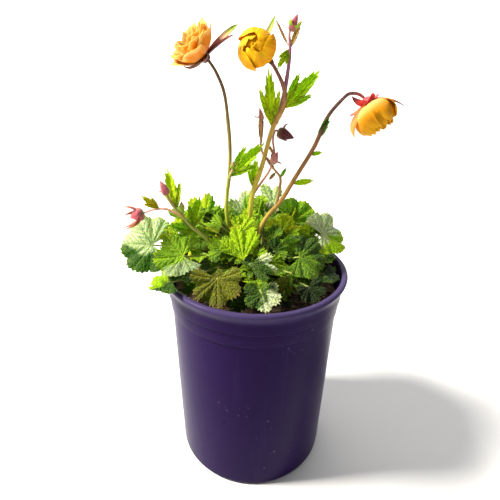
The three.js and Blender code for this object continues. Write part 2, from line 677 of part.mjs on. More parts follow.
function calyx(sepals) {
  const cup = turned([[0, -0.5], [2.2, -0.4], [3.3, 1.2], [3.7, 2.7], [3, 3.2], [0, 3.2]], 8);
  return join([cup, ...sepals.map(sepal)]).subtract(hole(STEM_END, -3, 2.4));
}

// The stamens stand together on a low dome: a tuft that flares upwards, with every other ridge shorter.
function stamens() {
  const [foot, top] = [5.7, 9.8];
  const rings = [[1.4, foot, 0], [1.4, 7.3, 0], [2.1, 8, 0.28], [3, 10.8, 0.28]].map(([r, z, groove], i) =>
    turns(14).map((turn, k) => {
      const around = k % 2 ? r * (1 - groove) : r;
      const drop = i === 3 && k % 2 ? 0.9 : 0;
      return new THREE.Vector3(around * Math.cos(turn), around * Math.sin(turn), z - drop);
    }),
  );
  return ringed(new THREE.Vector3(0, 0, foot), rings, new THREE.Vector3(0, 0, top));
}

// Assembly

const object = new THREE.Group();
const plant = new THREE.Group();
plant.position.z = SOIL_LEVEL;
object.add(meshOf("pot", pot(), MATERIALS.pot), plant);

const sockets = [];
const socket = (x, y, radius) => {
  sockets.push(hole(radius, -SOCKET_DEPTH - GAP, 3 * CROWN_TOP, 5).translate([x, y, 0]));
};

Object.entries(BASAL_LEAVES).forEach(([name, row], index) => {
  const { solid, foot } = basalLeaf(row, index);
  socket(foot.x, foot.y, PETIOLE_RADIUS);
  plant.add(meshOf(name, solid, MATERIALS.leaf));
});

for (const [name, stem] of Object.entries(STEMS)) {
  socket(...stem.foot, stem.radii[0]);
  plant.add(meshOf(name, leafyStem(stem), MATERIALS.stem));
}

for (const [name, spec] of Object.entries(BUDS)) {
  const frame = new THREE.Group();
  frame.applyMatrix4(axisFrame(vec(spec.base), vec(spec.axis)));
  frame.add(meshOf(name, bud(spec), MATERIALS.calyx));
  plant.add(frame);
}

for (const [side, { base, axis, sepals }] of Object.entries(BLOOMS)) {
  const frame = new THREE.Group();
  frame.applyMatrix4(axisFrame(vec(base), vec(axis)));
  frame.add(meshOf(`petals_${side}`, petals(PETAL_LAYERS[side]), MATERIALS.petals));
  frame.add(meshOf(`calyx_${side}`, calyx(sepals), MATERIALS.calyx));
  frame.add(meshOf(`stamens_${side}`, stamens(), MATERIALS.stamens));
  plant.add(frame);
}

plant.add(meshOf("crown", cut(crown(0), sockets), MATERIALS.crown));
plant.add(meshOf("soil", soil(crown(1.5 * GAP)), MATERIALS.soil));

export default object;
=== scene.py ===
"""A geum in flower in its nursery pot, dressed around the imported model. Lengths are millimetres until a
mesh is made, +Z is up, and the side that the plant shows best faces -Y. Everything but the pot is laid out
in the frame of the plant, whose origin is the middle of the potting mix's surface."""

import math

import bpy
import numpy as np
from mathutils import Matrix, Vector


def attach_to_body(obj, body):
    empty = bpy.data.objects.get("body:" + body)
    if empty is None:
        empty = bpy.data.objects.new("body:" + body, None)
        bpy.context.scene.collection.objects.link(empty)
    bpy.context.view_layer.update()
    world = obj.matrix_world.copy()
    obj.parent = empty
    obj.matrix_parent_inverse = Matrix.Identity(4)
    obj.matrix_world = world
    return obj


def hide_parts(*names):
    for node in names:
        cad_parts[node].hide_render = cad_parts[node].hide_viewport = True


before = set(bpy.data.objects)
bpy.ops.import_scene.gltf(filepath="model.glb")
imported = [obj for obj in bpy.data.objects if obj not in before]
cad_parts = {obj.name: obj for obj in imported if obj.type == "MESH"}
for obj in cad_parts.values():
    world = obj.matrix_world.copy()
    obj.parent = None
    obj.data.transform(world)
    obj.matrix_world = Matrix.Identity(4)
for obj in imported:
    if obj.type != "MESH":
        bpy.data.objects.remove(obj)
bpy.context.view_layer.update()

MM = 0.001
GOLDEN_TURN = math.pi * (3 - math.sqrt(5))
UP = np.array([0.0, 0.0, 1.0])

# The waves of each leaf and petal start this many radians on from those of the one before it.
PHASE_STEP = 2.4

# Driving dimensions of the pot.
LIP_RADIUS = 75
LIP_ROLL = 2.1
POT_HEIGHT = 182
WALL = 1.8
WALL_TOP_RADIUS = 68.8
WALL_FOOT_RADIUS = 66.1
FLOOR = 2.6
HEEL = 3.4
UPPER_BAND_FOOT = 162.8
UPPER_BAND_RADIUS = 71.3
LOWER_BAND_FOOT = 151.5
LOWER_BAND_RADIUS = 70.2
RING_DEPTH = 0.12
RING_STEP = 2.1
DRAIN_RADIUS = 5
DRAIN_RING = 46
DRAIN_COUNT = 8
POT_SIDES = 160
POT_SHARP = 35

# Driving dimensions of the planting.
SOIL_LEVEL = 164
CROWN_TOP = 5
CROWN_RADIUS = 20.5
CROWN_DEPTH = 14
LEAF_BASES = 46
CHIP_COUNT = 900
CHIP_REACH = 66
SOCKET_DEPTH = 11
PETIOLE_RADIUS = 1.15
PEDICEL_END = 0.65
STEM_END = 1
HAIR_RADIUS = 0.045
LEAF_SKIN = 0.42
YOUNG_SKIN = 0.3
STEM_LEAF_SKIN = 0.36
PETAL_SKIN = 0.36
SEPAL_SKIN = 0.4

# Seeds of the random draws. A basal leaf adds its number to its kind's seed, and a bloom, a bud or a stem
# adds the length of its name.
CHIP_SEED = 71
CROWN_SEED = 17
LEAF_SEED = 300
YOUNG_SEED = 905
CALYX_SEED = 40
BUD_SEED = 80
STEM_SEED = 500

# Veins of a blade, as shares of its reach: from one side vein to the next, and how far each slants forward
# for its way out.
VEIN_STEP = 0.16
VEIN_SLANT = 1.1

# Camera: the place and the turns that put the pot's lip, bands and foot where the photograph has them, and
# the focal length in pixels of its 500-pixel frame.
CAMERA_PLACE = (0, -290.65, 332.13)
CAMERA_YAW = 0.911
CAMERA_PITCH = -25.279
CAMERA_ROLL = 1.221
FOCAL_PIXELS = 395.855
FRAME_PIXELS = 500
SENSOR_WIDTH = 36


# Numbers and directions

def unit(vectors):
    """Each vector divided by its length."""
    return vectors / np.maximum(np.linalg.norm(vectors, axis=-1, keepdims=True), 1e-12)


def ease(share):
    """A step from 0 to 1 with flat ends: 3 s^2 - 2 s^3."""
    share = np.clip(share, 0, 1)
    return share * share * (3 - 2 * share)


def leaning(heading, tilt):
    """The direction at a tilt in degrees from straight up, towards a compass heading."""
    a, t = math.radians(heading), math.radians(tilt)
    return np.array([math.sin(t) * math.cos(a), math.sin(t) * math.sin(a), math.cos(t)])


def cubic(corners, share):
    """The point at each share s of a cubic curve with four corners:
    (1 - s)^3 a + 3 (1 - s)^2 s b + 3 (1 - s) s^2 c + s^3 d."""
    a, b, c, d = (np.asarray(corner, float) for corner in corners)
    s = np.asarray(share, float)[..., None]
    return (1 - s) ** 3 * a + 3 * (1 - s) ** 2 * s * b + 3 * (1 - s) * s * s * c + s ** 3 * d


def through(points, steps):
    """A smooth line through points, with this many steps from each to the next: a cubic curve whose rate of
    change at each point is half the way between the point's two neighbours."""
    p = np.asarray(points, float)
    p = np.concatenate([[2 * p[0] - p[1]], p, [2 * p[-1] - p[-2]]])
    s = (np.arange(steps) / steps)[None, :, None]
    a, b, c, d = (p[k:len(p) - 3 + k, None, :] for k in range(4))
    second = 2 * a - 5 * b + 4 * c - d
    third = 3 * b - a - 3 * c + d
    curve = 0.5 * (2 * b + (c - a) * s + second * s ** 2 + third * s ** 3)
    return np.concatenate([curve.reshape(-1, p.shape[1]), p[-2:-1]])


def blend(first, second, share):
    """Colours from the first to the second by a share for each point."""
    share = np.asarray(share, float)[..., None]
    return np.asarray(first, float) * (1 - share) + np.asarray(second, float) * share


# Surfaces gathered into pieces

def closed_rings(rings, sides):
    """The faces of a closed body of rings that run anticlockwise about the way along: quads between the
    rings, whose corners start at point 2, and fans round its foot, point 0, and its top, point 1."""
    index = 2 + np.arange(rings * sides).reshape(rings, sides)
    beside = np.roll(index, -1, axis=1)
    walls = np.stack([index[:-1], beside[:-1], beside[1:], index[1:]], -1).reshape(-1, 4)
    foot = np.stack([np.zeros(sides, int), beside[0], index[0]], -1)
    top = np.stack([np.ones(sides, int), index[-1], beside[-1]], -1)
    return [walls, foot, top]


def spokes(side, across, sides):
    """Spokes evenly round each point, from the two ways across the path there."""
    turn = 2 * np.pi * np.arange(sides)[:, None] / sides
    return side[:, None] * np.cos(turn) + across[:, None] * np.sin(turn)


def smooth(mesh, sharp):
    """Smooth shading, with the edges left sharp that turn by more than this many degrees."""
    mesh.shade_smooth()
    mesh.set_sharp_from_angle(angle=math.radians(sharp))


class Piece:
    """Closed surfaces in millimetres that become one mesh. Each point has a tint (a colour and a share of
    painted sheen, a silvery painted highlight) and a place on its leaf's net of veins. Each surface has a
    finish, the piece's own where none is named."""

    def __init__(self, finish):
        self.materials = [finish]
        self.points = []
        self.tints = []
        self.nets = []
        self.faces = []
        self.numbers = []
        self.count = 0

    def add(self, points, faces, tint, net=(0, 0), finish=None):
        points = np.asarray(points, float).reshape(-1, 3)
        colour = np.ones((len(points), 4))
        colour[:, 3] = 0
        tint = np.asarray(tint, float)
        colour[:, :tint.shape[-1]] = tint
        self.points.append(points)
        self.tints.append(colour)
        self.nets.append(np.broadcast_to(np.asarray(net, float), (len(points), 2)))
        finish = finish or self.materials[0]
        if finish not in self.materials:
            self.materials.append(finish)
        for face in faces:
            if len(face):
                self.faces.append(np.asarray(face) + self.count)
                self.numbers.append(np.full(len(face), self.materials.index(finish)))
        self.count += len(points)

    def sheet(self, grid, thickness, tint, under=None, net=(0, 0), fan=False):
        """A thin closed sheet. grid is its middle surface, with rows outwards and columns anticlockwise
        seen from above: each point goes half the thickness out along the cross product of the two grid
        directions, and as far against it for the underside, and a strip round the border joins the two. A
        fan's first row is one point."""
        rows, columns = grid.shape[:2]
        normals = unit(np.cross(np.gradient(grid, axis=0), np.gradient(grid, axis=1)))
        index = np.arange(rows * columns).reshape(rows, columns)
        skip = columns - 1 if fan else 0
        if fan:
            normals[0] = unit(normals[1].mean(axis=0))
            index = index - skip
            index[0] = 0
        middle = grid.reshape(-1, 3)[skip:]
        half = normals.reshape(-1, 3)[skip:] * thickness / 2
        quads = np.stack([index[:-1, :-1], index[1:, :-1], index[1:, 1:], index[:-1, 1:]], -1).reshape(-1, 4)
        tips = quads[:skip, :3]
        quads = quads[skip:]
        border = [index[:, 0], index[-1, 1:], index[-2:0:-1, -1]]
        if not fan:
            border.append(index[0, :0:-1])
        border = np.concatenate(border)
        onward = np.roll(border, -1)
        count = len(middle)
        rim = np.stack([border + count, onward + count, onward, border], -1)
        over = self.flat(tint, rows, columns, skip)
        below = over if under is None else self.flat(under, rows, columns, skip)
        net = self.flat(net, rows, columns, skip)
        faces = [quads, quads[:, ::-1] + count, tips, tips[:, ::-1] + count, rim]
        points = np.concatenate([middle + half, middle - half])
        self.add(points, faces, np.concatenate([over, below]), np.concatenate([net, net]))

    @staticmethod
    def flat(values, rows, columns, skip):
        """One row of values for each point of a grid, from a value for all or an array over the grid."""
        values = np.asarray(values, float)
        return np.broadcast_to(values, (rows, columns, values.shape[-1])).reshape(-1, values.shape[-1])[skip:]

    def tube(self, path, radii, sides, tints):
        """A round stalk with a radius and a tint for each point of its path: rings of corners about each
        point, in the plane across the path, closed at both ends by a fan to a point a little past the
        end."""
        along, side, across = ring_frame(path)
        rings = path[:, None] + radii[:, None, None] * spokes(side, across, sides)
        ends = [path[0] - along[0] * radii[0] * 0.4, path[-1] + along[-1] * radii[-1] * 0.4]
        points = np.concatenate([ends, rings.reshape(-1, 3)])
        tints = np.concatenate([tints[:1], tints[-1:], np.repeat(tints, sides, axis=0)])
        self.add(points, closed_rings(len(path), sides), tints, finish=STALK)

    def spikes(self, feet, tips, radius, tint, finish=None):
        """Thin closed three-sided spikes, each from a foot to a tip, with its base triangle round the
        foot."""
        along = unit(tips - feet)
        side = unit(np.cross(along, np.where(np.abs(along[:, 2:]) > 0.8, [1.0, 0, 0], UP)))
        bases = feet[:, None] + radius * spokes(side, np.cross(along, side), 3)
        points = np.concatenate([bases, tips[:, None]], axis=1)
        faces = 4 * np.arange(len(feet))[:, None, None] + [[0, 1, 3], [1, 2, 3], [2, 0, 3], [0, 2, 1]]
        self.add(points, [faces.reshape(-1, 3)], tint, finish=finish)

    def make(self, name, nodes=(), lift=SOIL_LEVEL, sharp=50):
        """The mesh object, in metres, on the object's one body, in place of the nodes that it stands for."""
        points = (np.concatenate(self.points) + (0, 0, lift)) * MM
        corners = np.concatenate([face.ravel() for face in self.faces])
        sizes = np.concatenate([np.full(len(face), face.shape[1]) for face in self.faces])
        numbers = np.concatenate(self.numbers)
        mesh = bpy.data.meshes.new(name)
        mesh.vertices.add(len(points))
        mesh.vertices.foreach_set("co", points.ravel().astype(np.float32))
        mesh.loops.add(len(corners))
        mesh.loops.foreach_set("vertex_index", corners.astype(np.int32))
        mesh.polygons.add(len(sizes))
        mesh.polygons.foreach_set("loop_start", (np.cumsum(sizes) - sizes).astype(np.int32))
        mesh.polygons.foreach_set("material_index", numbers.astype(np.int32))
        mesh.update(calc_edges=True)
        tint = mesh.color_attributes.new("tint", "FLOAT_COLOR", "POINT")
        tint.data.foreach_set("color", np.concatenate(self.tints).ravel().astype(np.float32))
        net = mesh.uv_layers.new(name="net")
        net.data.foreach_set("uv", np.concatenate(self.nets)[corners].ravel().astype(np.float32))
        smooth(mesh, sharp)
        for material in self.materials:
            mesh.materials.append(material)
        piece = bpy.data.objects.new(name, mesh)
        bpy.context.scene.collection.objects.link(piece)
        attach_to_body(piece, "root")
        if nodes:
            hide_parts(*nodes)
        return piece


def ring_frame(path):
    """The ways along a path and across it at each of its points: one side is the level axis that the path
    follows least, made square to it, and the other is their cross product."""
    along = unit(np.gradient(path, axis=0))
    level = np.eye(3)[np.argmin(np.abs(along[:, :2]).max(axis=0))]
    side = unit(level - (along @ level)[:, None] * along)
    return along, side, np.cross(along, side)


def hairs(piece, draws, path, radii, count, length, tint):
    """Hairs all round a stalk: each stands at a random place along it and round it, out along the spoke
    there and a little up, in lengths from half to one and a half times the given one."""
    along, side, across = ring_frame(path)
    place = draws.uniform(0, len(path) - 1, count)
    low = np.minimum(place.astype(int), len(path) - 2)
    share = (place - low)[:, None]
    turn = draws.uniform(0, 2 * np.pi, count)[:, None]
    spoke = side[low] * np.cos(turn) + across[low] * np.sin(turn)
    radii = np.broadcast_to(radii, len(path))
    foot = path[low] * (1 - share) + path[low + 1] * share + spoke * (radii[low] * 0.9)[:, None]
    way = unit(spoke + draws.normal(0, 0.25, (count, 3)) + 0.15 * along[low])
    size = length * draws.uniform(0.5, 1.5, (count, 1))
    piece.spikes(foot, foot + way * size, HAIR_RADIUS, tint, DOWN)


# Shader expressions

def operator(operation, reflected=False):
    """A method for one of Python's operators, which adds a Math node."""
    def apply(self, *others):
        values = (*others, self) if reflected else (self, *others)
        return self.shader.math(operation, *values)
    return apply


class Value:
    """A shader socket whose operators add Math nodes."""

    __add__ = operator("ADD")
    __radd__ = operator("ADD", reflected=True)
    __sub__ = operator("SUBTRACT")
    __rsub__ = operator("SUBTRACT", reflected=True)
    __mul__ = operator("MULTIPLY")
    __rmul__ = operator("MULTIPLY", reflected=True)
    __truediv__ = operator("DIVIDE")
    __rtruediv__ = operator("DIVIDE", reflected=True)
    __abs__ = operator("ABSOLUTE")
    fraction = operator("FRACT")

    def __init__(self, shader, socket):
        self.shader = shader
        self.socket = socket

    def clamp(self):
        return self.shader.math("ADD", self, 0, use_clamp=True)

    def step(self, low, high):
        """0 below low, 1 above high and eased between them; the other way round where high is the lower."""
        return self.shader.math("SMOOTH_MIN", (self - low) / (high - low), 1, 0.2).clamp()


class Shader:
    """A material with one Principled shader, and the methods that add nodes before it."""

    def __init__(self, name, **constants):
        self.material = bpy.data.materials.new(name)
        self.material.use_nodes = True
        self.tree = self.material.node_tree
        self.surface = self.tree.nodes["Principled BSDF"]
        for key, value in constants.items():
            self.surface.inputs[key.replace("_", " ")].default_value = value

    def feed(self, socket, value):
        if isinstance(value, Value):
            self.tree.links.new(value.socket, socket)
        elif value is not None:
            size = len(socket.default_value) if hasattr(socket.default_value, "__len__") else 0
            socket.default_value = (*value, 1)[:size] if size == 4 else value

    def node(self, kind, settings, inputs, output=0):
        """A node of a type, with its settings, then the values or links of its sockets, by name or number."""
        node = self.tree.nodes.new(kind)
        for key, value in settings.items():
            setattr(node, key, value)
        for key, value in inputs.items():
            self.feed(node.inputs[key], value)
        return Value(self, node.outputs[output])

    def math(self, operation, *values, **settings):
        return self.node("ShaderNodeMath", {"operation": operation, **settings}, dict(enumerate(values)))

    def blend(self, share, first, second, kind="MIX"):
        settings = {"data_type": "RGBA", "blend_type": kind}
        return self.node("ShaderNodeMix", settings, {0: share, 6: first, 7: second}, 2)

    def place(self):
        return self.node("ShaderNodeTexCoord", {}, {}, "Object")

    def noise(self, scale, detail=3, roughness=0.55, stretch=None):
        place = self.place()
        if stretch:
            place = self.node("ShaderNodeVectorMath", {"operation": "MULTIPLY"}, {0: place, 1: stretch})
        sizes = {"Vector": place, "Scale": scale, "Detail": detail, "Roughness": roughness}
        return self.node("ShaderNodeTexNoise", {}, sizes, "Fac")

    def cells(self, scale, feature="F1"):
        sizes = {"Vector": self.place(), "Scale": scale}
        return self.node("ShaderNodeTexVoronoi", {"feature": feature}, sizes, "Distance")

    def tint(self, output="Color"):
        return self.node("ShaderNodeAttribute", {"attribute_name": "tint"}, {}, output)

    def part(self, vector, number):
        """One coordinate of a vector."""
        return self.node("ShaderNodeSeparateXYZ", {}, {0: vector}, number)

    def net(self):
        """The two coordinates of the vein map: along a lobe's middle vein, and away from it."""
        uv = self.node("ShaderNodeUVMap", {"uv_map": "net"}, {})
        return self.part(uv, 0), self.part(uv, 1)

    def bump(self, height, distance, strength=1):
        sizes = {"Strength": strength, "Distance": distance, "Height": height}
        return self.node("ShaderNodeBump", {}, sizes, "Normal")

    def finish(self, **inputs):
        for key, value in inputs.items():
            self.feed(self.surface.inputs[key.replace("_", " ")], value)
        return self.material


# Finishes

def moulded_plastic():
    """Deep purple nursery-pot plastic: satin, faintly mottled, with dried splashes, fine upright scuffs that
    also carry painted streaks of reflection, and a painted reflection of the sky that makes the lip paler."""
    s = Shader("purple_moulded_plastic", Specular_IOR_Level=0.035)
    mottle = s.noise(14, 4)
    scuffs_and_reflection_streaks = s.noise(60, 5, 0.6, (1, 1, 0.12)).step(0.56, 0.78)
    splashes = s.cells(170).step(0.2, 0.08) * s.noise(22, 3).step(0.56, 0.66)
    colour = s.blend(mottle, (0.0105, 0.0032, 0.035), (0.017, 0.005, 0.052))
    # Painted reflection: pale upright streaks, partly real scuffs.
    colour = s.blend(scuffs_and_reflection_streaks * 0.07, colour, (0.1, 0.07, 0.18))
    colour = s.blend(splashes * 0.35, colour, (0.22, 0.17, 0.26))
    # Painted reflection of the sky: the lip paler near its top.
    painted_lip_reflection = s.part(s.place(), 2).step((POT_HEIGHT - 10) * MM, (POT_HEIGHT - 1) * MM)
    colour = s.blend(painted_lip_reflection * 0.6, colour, (0.07, 0.055, 0.13))
    ripple = s.noise(420, 2) * 0.25 + s.noise(70, 2, 0.5, (1, 1, 0.3))
    rough = 0.24 + mottle * 0.1 + scuffs_and_reflection_streaks * 0.2 + splashes * 0.3
    return s.finish(Base_Color=colour, Roughness=rough, Normal=s.bump(ripple, 0.0004, 0.35))


def damp_mix():
    """Dark bark-based potting mix with crumbs and a few paler fibres."""
    s = Shader("damp_potting_mix", Specular_IOR_Level=0.25)
    crumbs = s.cells(300)
    fibres = s.noise(260, 5, 0.7).step(0.58, 0.75)
    colour = s.blend(s.noise(120, 5, 0.65), (0.035, 0.026, 0.016), (0.26, 0.18, 0.1))
    colour = s.blend(fibres * 0.5, colour, (0.5, 0.34, 0.2))
    height = s.noise(350, 6, 0.7) + crumbs * 0.6
    return s.finish(Base_Color=colour, Roughness=0.75 + crumbs * 0.2, Normal=s.bump(height, 0.0012))


def flecked(name, grain, flecks_from, share, dark, roughness, swing, depth, strength=1, **constants):
    """A surface in its own tint, darkened in flecks where the grain of a noise is high, and rougher there."""
    s = Shader(name, **constants)
    flecks = s.noise(*grain)
    colour = s.blend(flecks.step(flecks_from, 0.7) * share, s.tint(), dark, "MULTIPLY")
    rough = roughness + flecks * swing
    return s.finish(Base_Color=colour, Roughness=rough, Normal=s.bump(flecks, depth, strength))


def bark():
    """Tinted bark: each chip's own tint with grain along it."""
    return flecked("bark_chips", (420, 5, 0.65), 0.35, 1, (0.5, 0.42, 0.36), 0.65, 0.3, 0.0006,
                   Specular_IOR_Level=0.25)


def leaf_finish():
    """A softly hairy blade: the tint of each leaf, veins that run from the stalk along each lobe and out to
    its teeth, a fine net between them, darker patches, and a painted sheen of the hairs, a silvery painted
    highlight on the swellings between the veins, where the tint's fourth number asks for it."""
    s = Shader("hairy_leaf", Specular_IOR_Level=0.12, Subsurface_Weight=0.5, Subsurface_Scale=0.002,
               Subsurface_Radius=(0.6, 1, 0.05))
    tint = s.tint()
    silver = s.tint("Alpha")
    along, away = s.net()
    middle = away.step(0.034, 0.01)
    ribs = abs(((along - away * VEIN_SLANT) / VEIN_STEP).fraction() - 0.5) * 2
    ribs = ribs.step(0.7, 0.96) * away.step(0.0, 0.03)
    mesh = s.cells(480, "DISTANCE_TO_EDGE").step(0.2, 0.04)
    veins = (middle + ribs * 0.7).clamp()
    lines = (veins + mesh * 0.45).clamp()
    patches = s.noise(75, 3).step(0.42, 0.66)
    mottle = s.noise(300, 3)
    deep = s.blend(1, tint, (0.4, 0.52, 0.5), "MULTIPLY")
    light = s.blend(1, tint, (1.7, 1.5, 1.3), "MULTIPLY")
    pale = s.blend(0.07 + silver * 0.3, light, (0.66, 0.7, 0.08))
    colour = s.blend(patches * 0.75, tint, deep)
    colour = s.blend(mottle.step(0.45, 0.68) * (1 - lines) * (0.42 - silver * 0.4), colour, deep)
    colour = s.blend(lines * (0.55 - silver * 0.4), colour, pale)
    # Painted sheen: a silvery painted highlight on the swellings between the veins, where the tint asks for
    # it.
    bloom = (1 - lines * 0.45) * (0.55 + mottle.step(0.36, 0.6) * 0.45) * silver
    colour = s.blend(bloom, colour, (0.56, 0.64, 0.36))
    height = mesh * -0.6 - veins + mottle * 0.4
    rough = 0.4 + mottle * 0.2 + lines * 0.1
    return s.finish(Base_Color=colour, Roughness=rough, Normal=s.bump(height, 0.0013))


def stalk_finish():
    """A downy stalk in its own tint, with fine ribs and darker flecks."""
    return flecked("downy_stalk", (380, 4, 0.6, (1, 1, 0.25)), 0.45, 0.55, (0.45, 0.36, 0.34), 0.42, 0.2,
                   0.0004, 0.6, Specular_IOR_Level=0.2, Sheen_Weight=0.1, Sheen_Roughness=0.4)


def petal_finish():
    """Silky petals in their own tint, lit through, with soft darker lines from claw to rim."""
    s = Shader("silky_petal", Specular_IOR_Level=0.15, Subsurface_Weight=0.25, Subsurface_Scale=0.001,
               Subsurface_Radius=(1, 0.6, 0.1))
    along, across = s.net()
    fan = s.node("ShaderNodeCombineXYZ", {}, {0: across * 5, 1: along * 0.6})
    lines = s.node("ShaderNodeTexNoise", {}, {"Vector": fan, "Scale": 3, "Detail": 4}, "Fac")
    colour = s.blend(lines.step(0.45, 0.7) * 0.5, s.tint(), (0.95, 0.66, 0.35), "MULTIPLY")
    return s.finish(Base_Color=colour, Roughness=0.4 + lines * 0.2, Normal=s.bump(lines, 0.0011, 0.7))


def calyx_finish():
    """Downy sepals and bud scales in their own tint, with darker flecks."""
    return flecked("downy_calyx", (430, 4, 0.6), 0.45, 0.5, (0.5, 0.4, 0.42), 0.45, 0.2, 0.0005, 0.7,
                   Specular_IOR_Level=0.2, Sheen_Weight=0.15, Sheen_Roughness=0.4)


def down_finish():
    """Pale hairs."""
    s = Shader("pale_down", Roughness=0.5, Specular_IOR_Level=0.4)
    return s.finish(Base_Color=s.tint())


PLASTIC = moulded_plastic()
MIX = damp_mix()
BARK = bark()
LEAF = leaf_finish()
STALK = stalk_finish()
PETAL = petal_finish()
CALYX = calyx_finish()
DOWN = down_finish()
WHITE = (1, 1, 1)


# The pot

def arc(centre, radius, start, stop, count):
    """Points of a round corner in a profile, as [radius, height], from one angle to the other in degrees."""
    turn = np.radians(np.linspace(start, stop, count))
    return np.stack([centre[0] + radius * np.cos(turn), centre[1] + radius * np.sin(turn)], -1)


def turned(profile, sides):
    """A body of revolution: each [radius, height] of the profile, from the axis at the foot to the axis at
    the top or inside, turned round +Z; the two ends on the axis are single points."""
    profile = np.asarray(profile, float)
    turn = 2 * np.pi * np.arange(sides) / sides
    r, z = profile[1:-1, :1], profile[1:-1, 1:]
    rings = np.stack([r * np.cos(turn), r * np.sin(turn), np.broadcast_to(z, (len(r), sides))], -1)
    points = np.concatenate([[[0, 0, profile[0, 1]], [0, 0, profile[-1, 1]]], rings.reshape(-1, 3)])
    return points, closed_rings(len(r), sides)


def pot_profile():
    """The pot's section: underside, rounded heel, tapered wall, two stepped bands, rolled lip, and back
    down the ringed inner wall to the floor."""
    slope = (WALL_TOP_RADIUS - WALL_FOOT_RADIUS) / LOWER_BAND_FOOT
    wall = lambda z: WALL_FOOT_RADIUS + slope * z
    outer = np.linspace(5, LOWER_BAND_FOOT - 0.6, 24)
    band, collar = LOWER_BAND_RADIUS, UPPER_BAND_RADIUS
    lip = POT_HEIGHT - LIP_ROLL
    rings = np.linspace(POT_HEIGHT - 5, LOWER_BAND_FOOT - 2, 73)
    inside = np.interp(rings, [LOWER_BAND_FOOT - 3, UPPER_BAND_FOOT + 5, POT_HEIGHT - 5],
                       [wall(LOWER_BAND_FOOT) - WALL, band - 0.2 - WALL, LIP_RADIUS - 5.2])
    inside = inside + RING_DEPTH * np.cos(2 * np.pi * rings / RING_STEP)
    lower = np.linspace(LOWER_BAND_FOOT - 4, 7, 8)
    return np.concatenate([
        [[0, 0], [WALL_FOOT_RADIUS - 4, 0]],
        arc((WALL_FOOT_RADIUS - HEEL, HEEL), HEEL, -90, 0, 7),
        np.stack([wall(outer), outer], -1),
        arc((wall(LOWER_BAND_FOOT) + 0.4, LOWER_BAND_FOOT + 0.7), 0.7, -80, 0, 4),
        [[band, UPPER_BAND_FOOT - 0.5], [band, UPPER_BAND_FOOT]],
        arc((collar - 0.6, UPPER_BAND_FOOT + 0.6), 0.6, -80, 0, 4),
        [[collar + 0.1, POT_HEIGHT - 13], [collar + 0.4, POT_HEIGHT - 9.6], [collar + 1.1, POT_HEIGHT - 7.4]],
        [[collar + 2.2, POT_HEIGHT - 5.8]],
        arc((LIP_RADIUS - LIP_ROLL, lip), LIP_ROLL, -40, 100, 10),
        arc((LIP_RADIUS - 3.6, lip + 0.6), 1.2, 95, 175, 5),
        np.stack([inside, rings], -1),
        np.stack([wall(lower) - WALL, lower], -1),
        [[WALL_FOOT_RADIUS - 4.4, FLOOR], [0, FLOOR]],
    ])


def pot():
    """The shell of revolution, with its drainage holes cut by one Boolean on a join of cylinders."""
    shell = Piece(PLASTIC)
    shell.add(*turned(pot_profile(), POT_SIDES), WHITE)
    piece = shell.make("moulded_pot", ["pot"], lift=0, sharp=POT_SHARP)
    drills = Piece(PLASTIC)
    for k in range(DRAIN_COUNT):
        turn = 2 * math.pi * (k + 0.5) / DRAIN_COUNT
        middle = (DRAIN_RING * math.cos(turn), DRAIN_RING * math.sin(turn), 0)
        points, faces = turned([[0, -4], [DRAIN_RADIUS, -4], [DRAIN_RADIUS, 6], [0, 6]], 28)
        drills.add(points + middle, faces, WHITE)
    cutter = drills.make("drills", lift=0)
    cut = piece.modifiers.new("drains", "BOOLEAN")
    cut.operation = "DIFFERENCE"
    cut.solver = "EXACT"
    cut.object = cutter
    bpy.context.view_layer.update()
    piece.data = bpy.data.meshes.new_from_object(piece.evaluated_get(bpy.context.evaluated_depsgraph_get()))
    piece.modifiers.clear()
    bpy.data.objects.remove(cutter)
    smooth(piece.data, POT_SHARP)


# The potting mix and the crown

def mix_height(x, y):
    """Height of the mix's surface, a sum of products of sines: swells 12 to 37 mm long, lumps of 5 to 6 mm
    and grit of 3 mm."""
    swells = 1.3 * np.sin(0.21 * x + 1.3) * np.cos(0.17 * y) + 0.8 * np.sin(0.43 * y - 0.31 * x)
    lumps = 0.5 * np.sin(1.1 * x + 0.7 * y) * np.sin(0.9 * y - 0.5 * x)
    return swells + lumps + 0.25 * np.sin(2.3 * x) * np.cos(2.1 * y)


def soil():
    """The mix fills the pot: a plug of revolution whose top is the height formula, dished where the crown
    sits and sunk a little along the wall."""
    foot = FLOOR + 0.3 - SOIL_LEVEL
    rim = LOWER_BAND_RADIUS - WALL - 1.8
    edge = -3
    body = [[0, foot], [WALL_FOOT_RADIUS - 5, foot], [WALL_FOOT_RADIUS - WALL - 0.4, 8 - SOIL_LEVEL],
            [WALL_TOP_RADIUS - WALL - 0.8, -14], [rim, edge]]
    surface = [[radius, 0] for radius in np.linspace(rim - 1, 2, 52)]
    points, faces = turned(body + surface + [[0, edge]], 144)
    top = points[:, 2] > edge - 0.5
    radius = np.hypot(points[:, 0], points[:, 1])
    dish = -4 * ease((21 - radius) / 6)
    points[top, 2] = (mix_height(points[:, 0], points[:, 1]) + dish)[top] - 1.2 * ease((radius[top] - 63) / 4)
    piece = Piece(MIX)
    piece.add(points, faces, WHITE)
    piece.make("potting_mix", ["soil"])


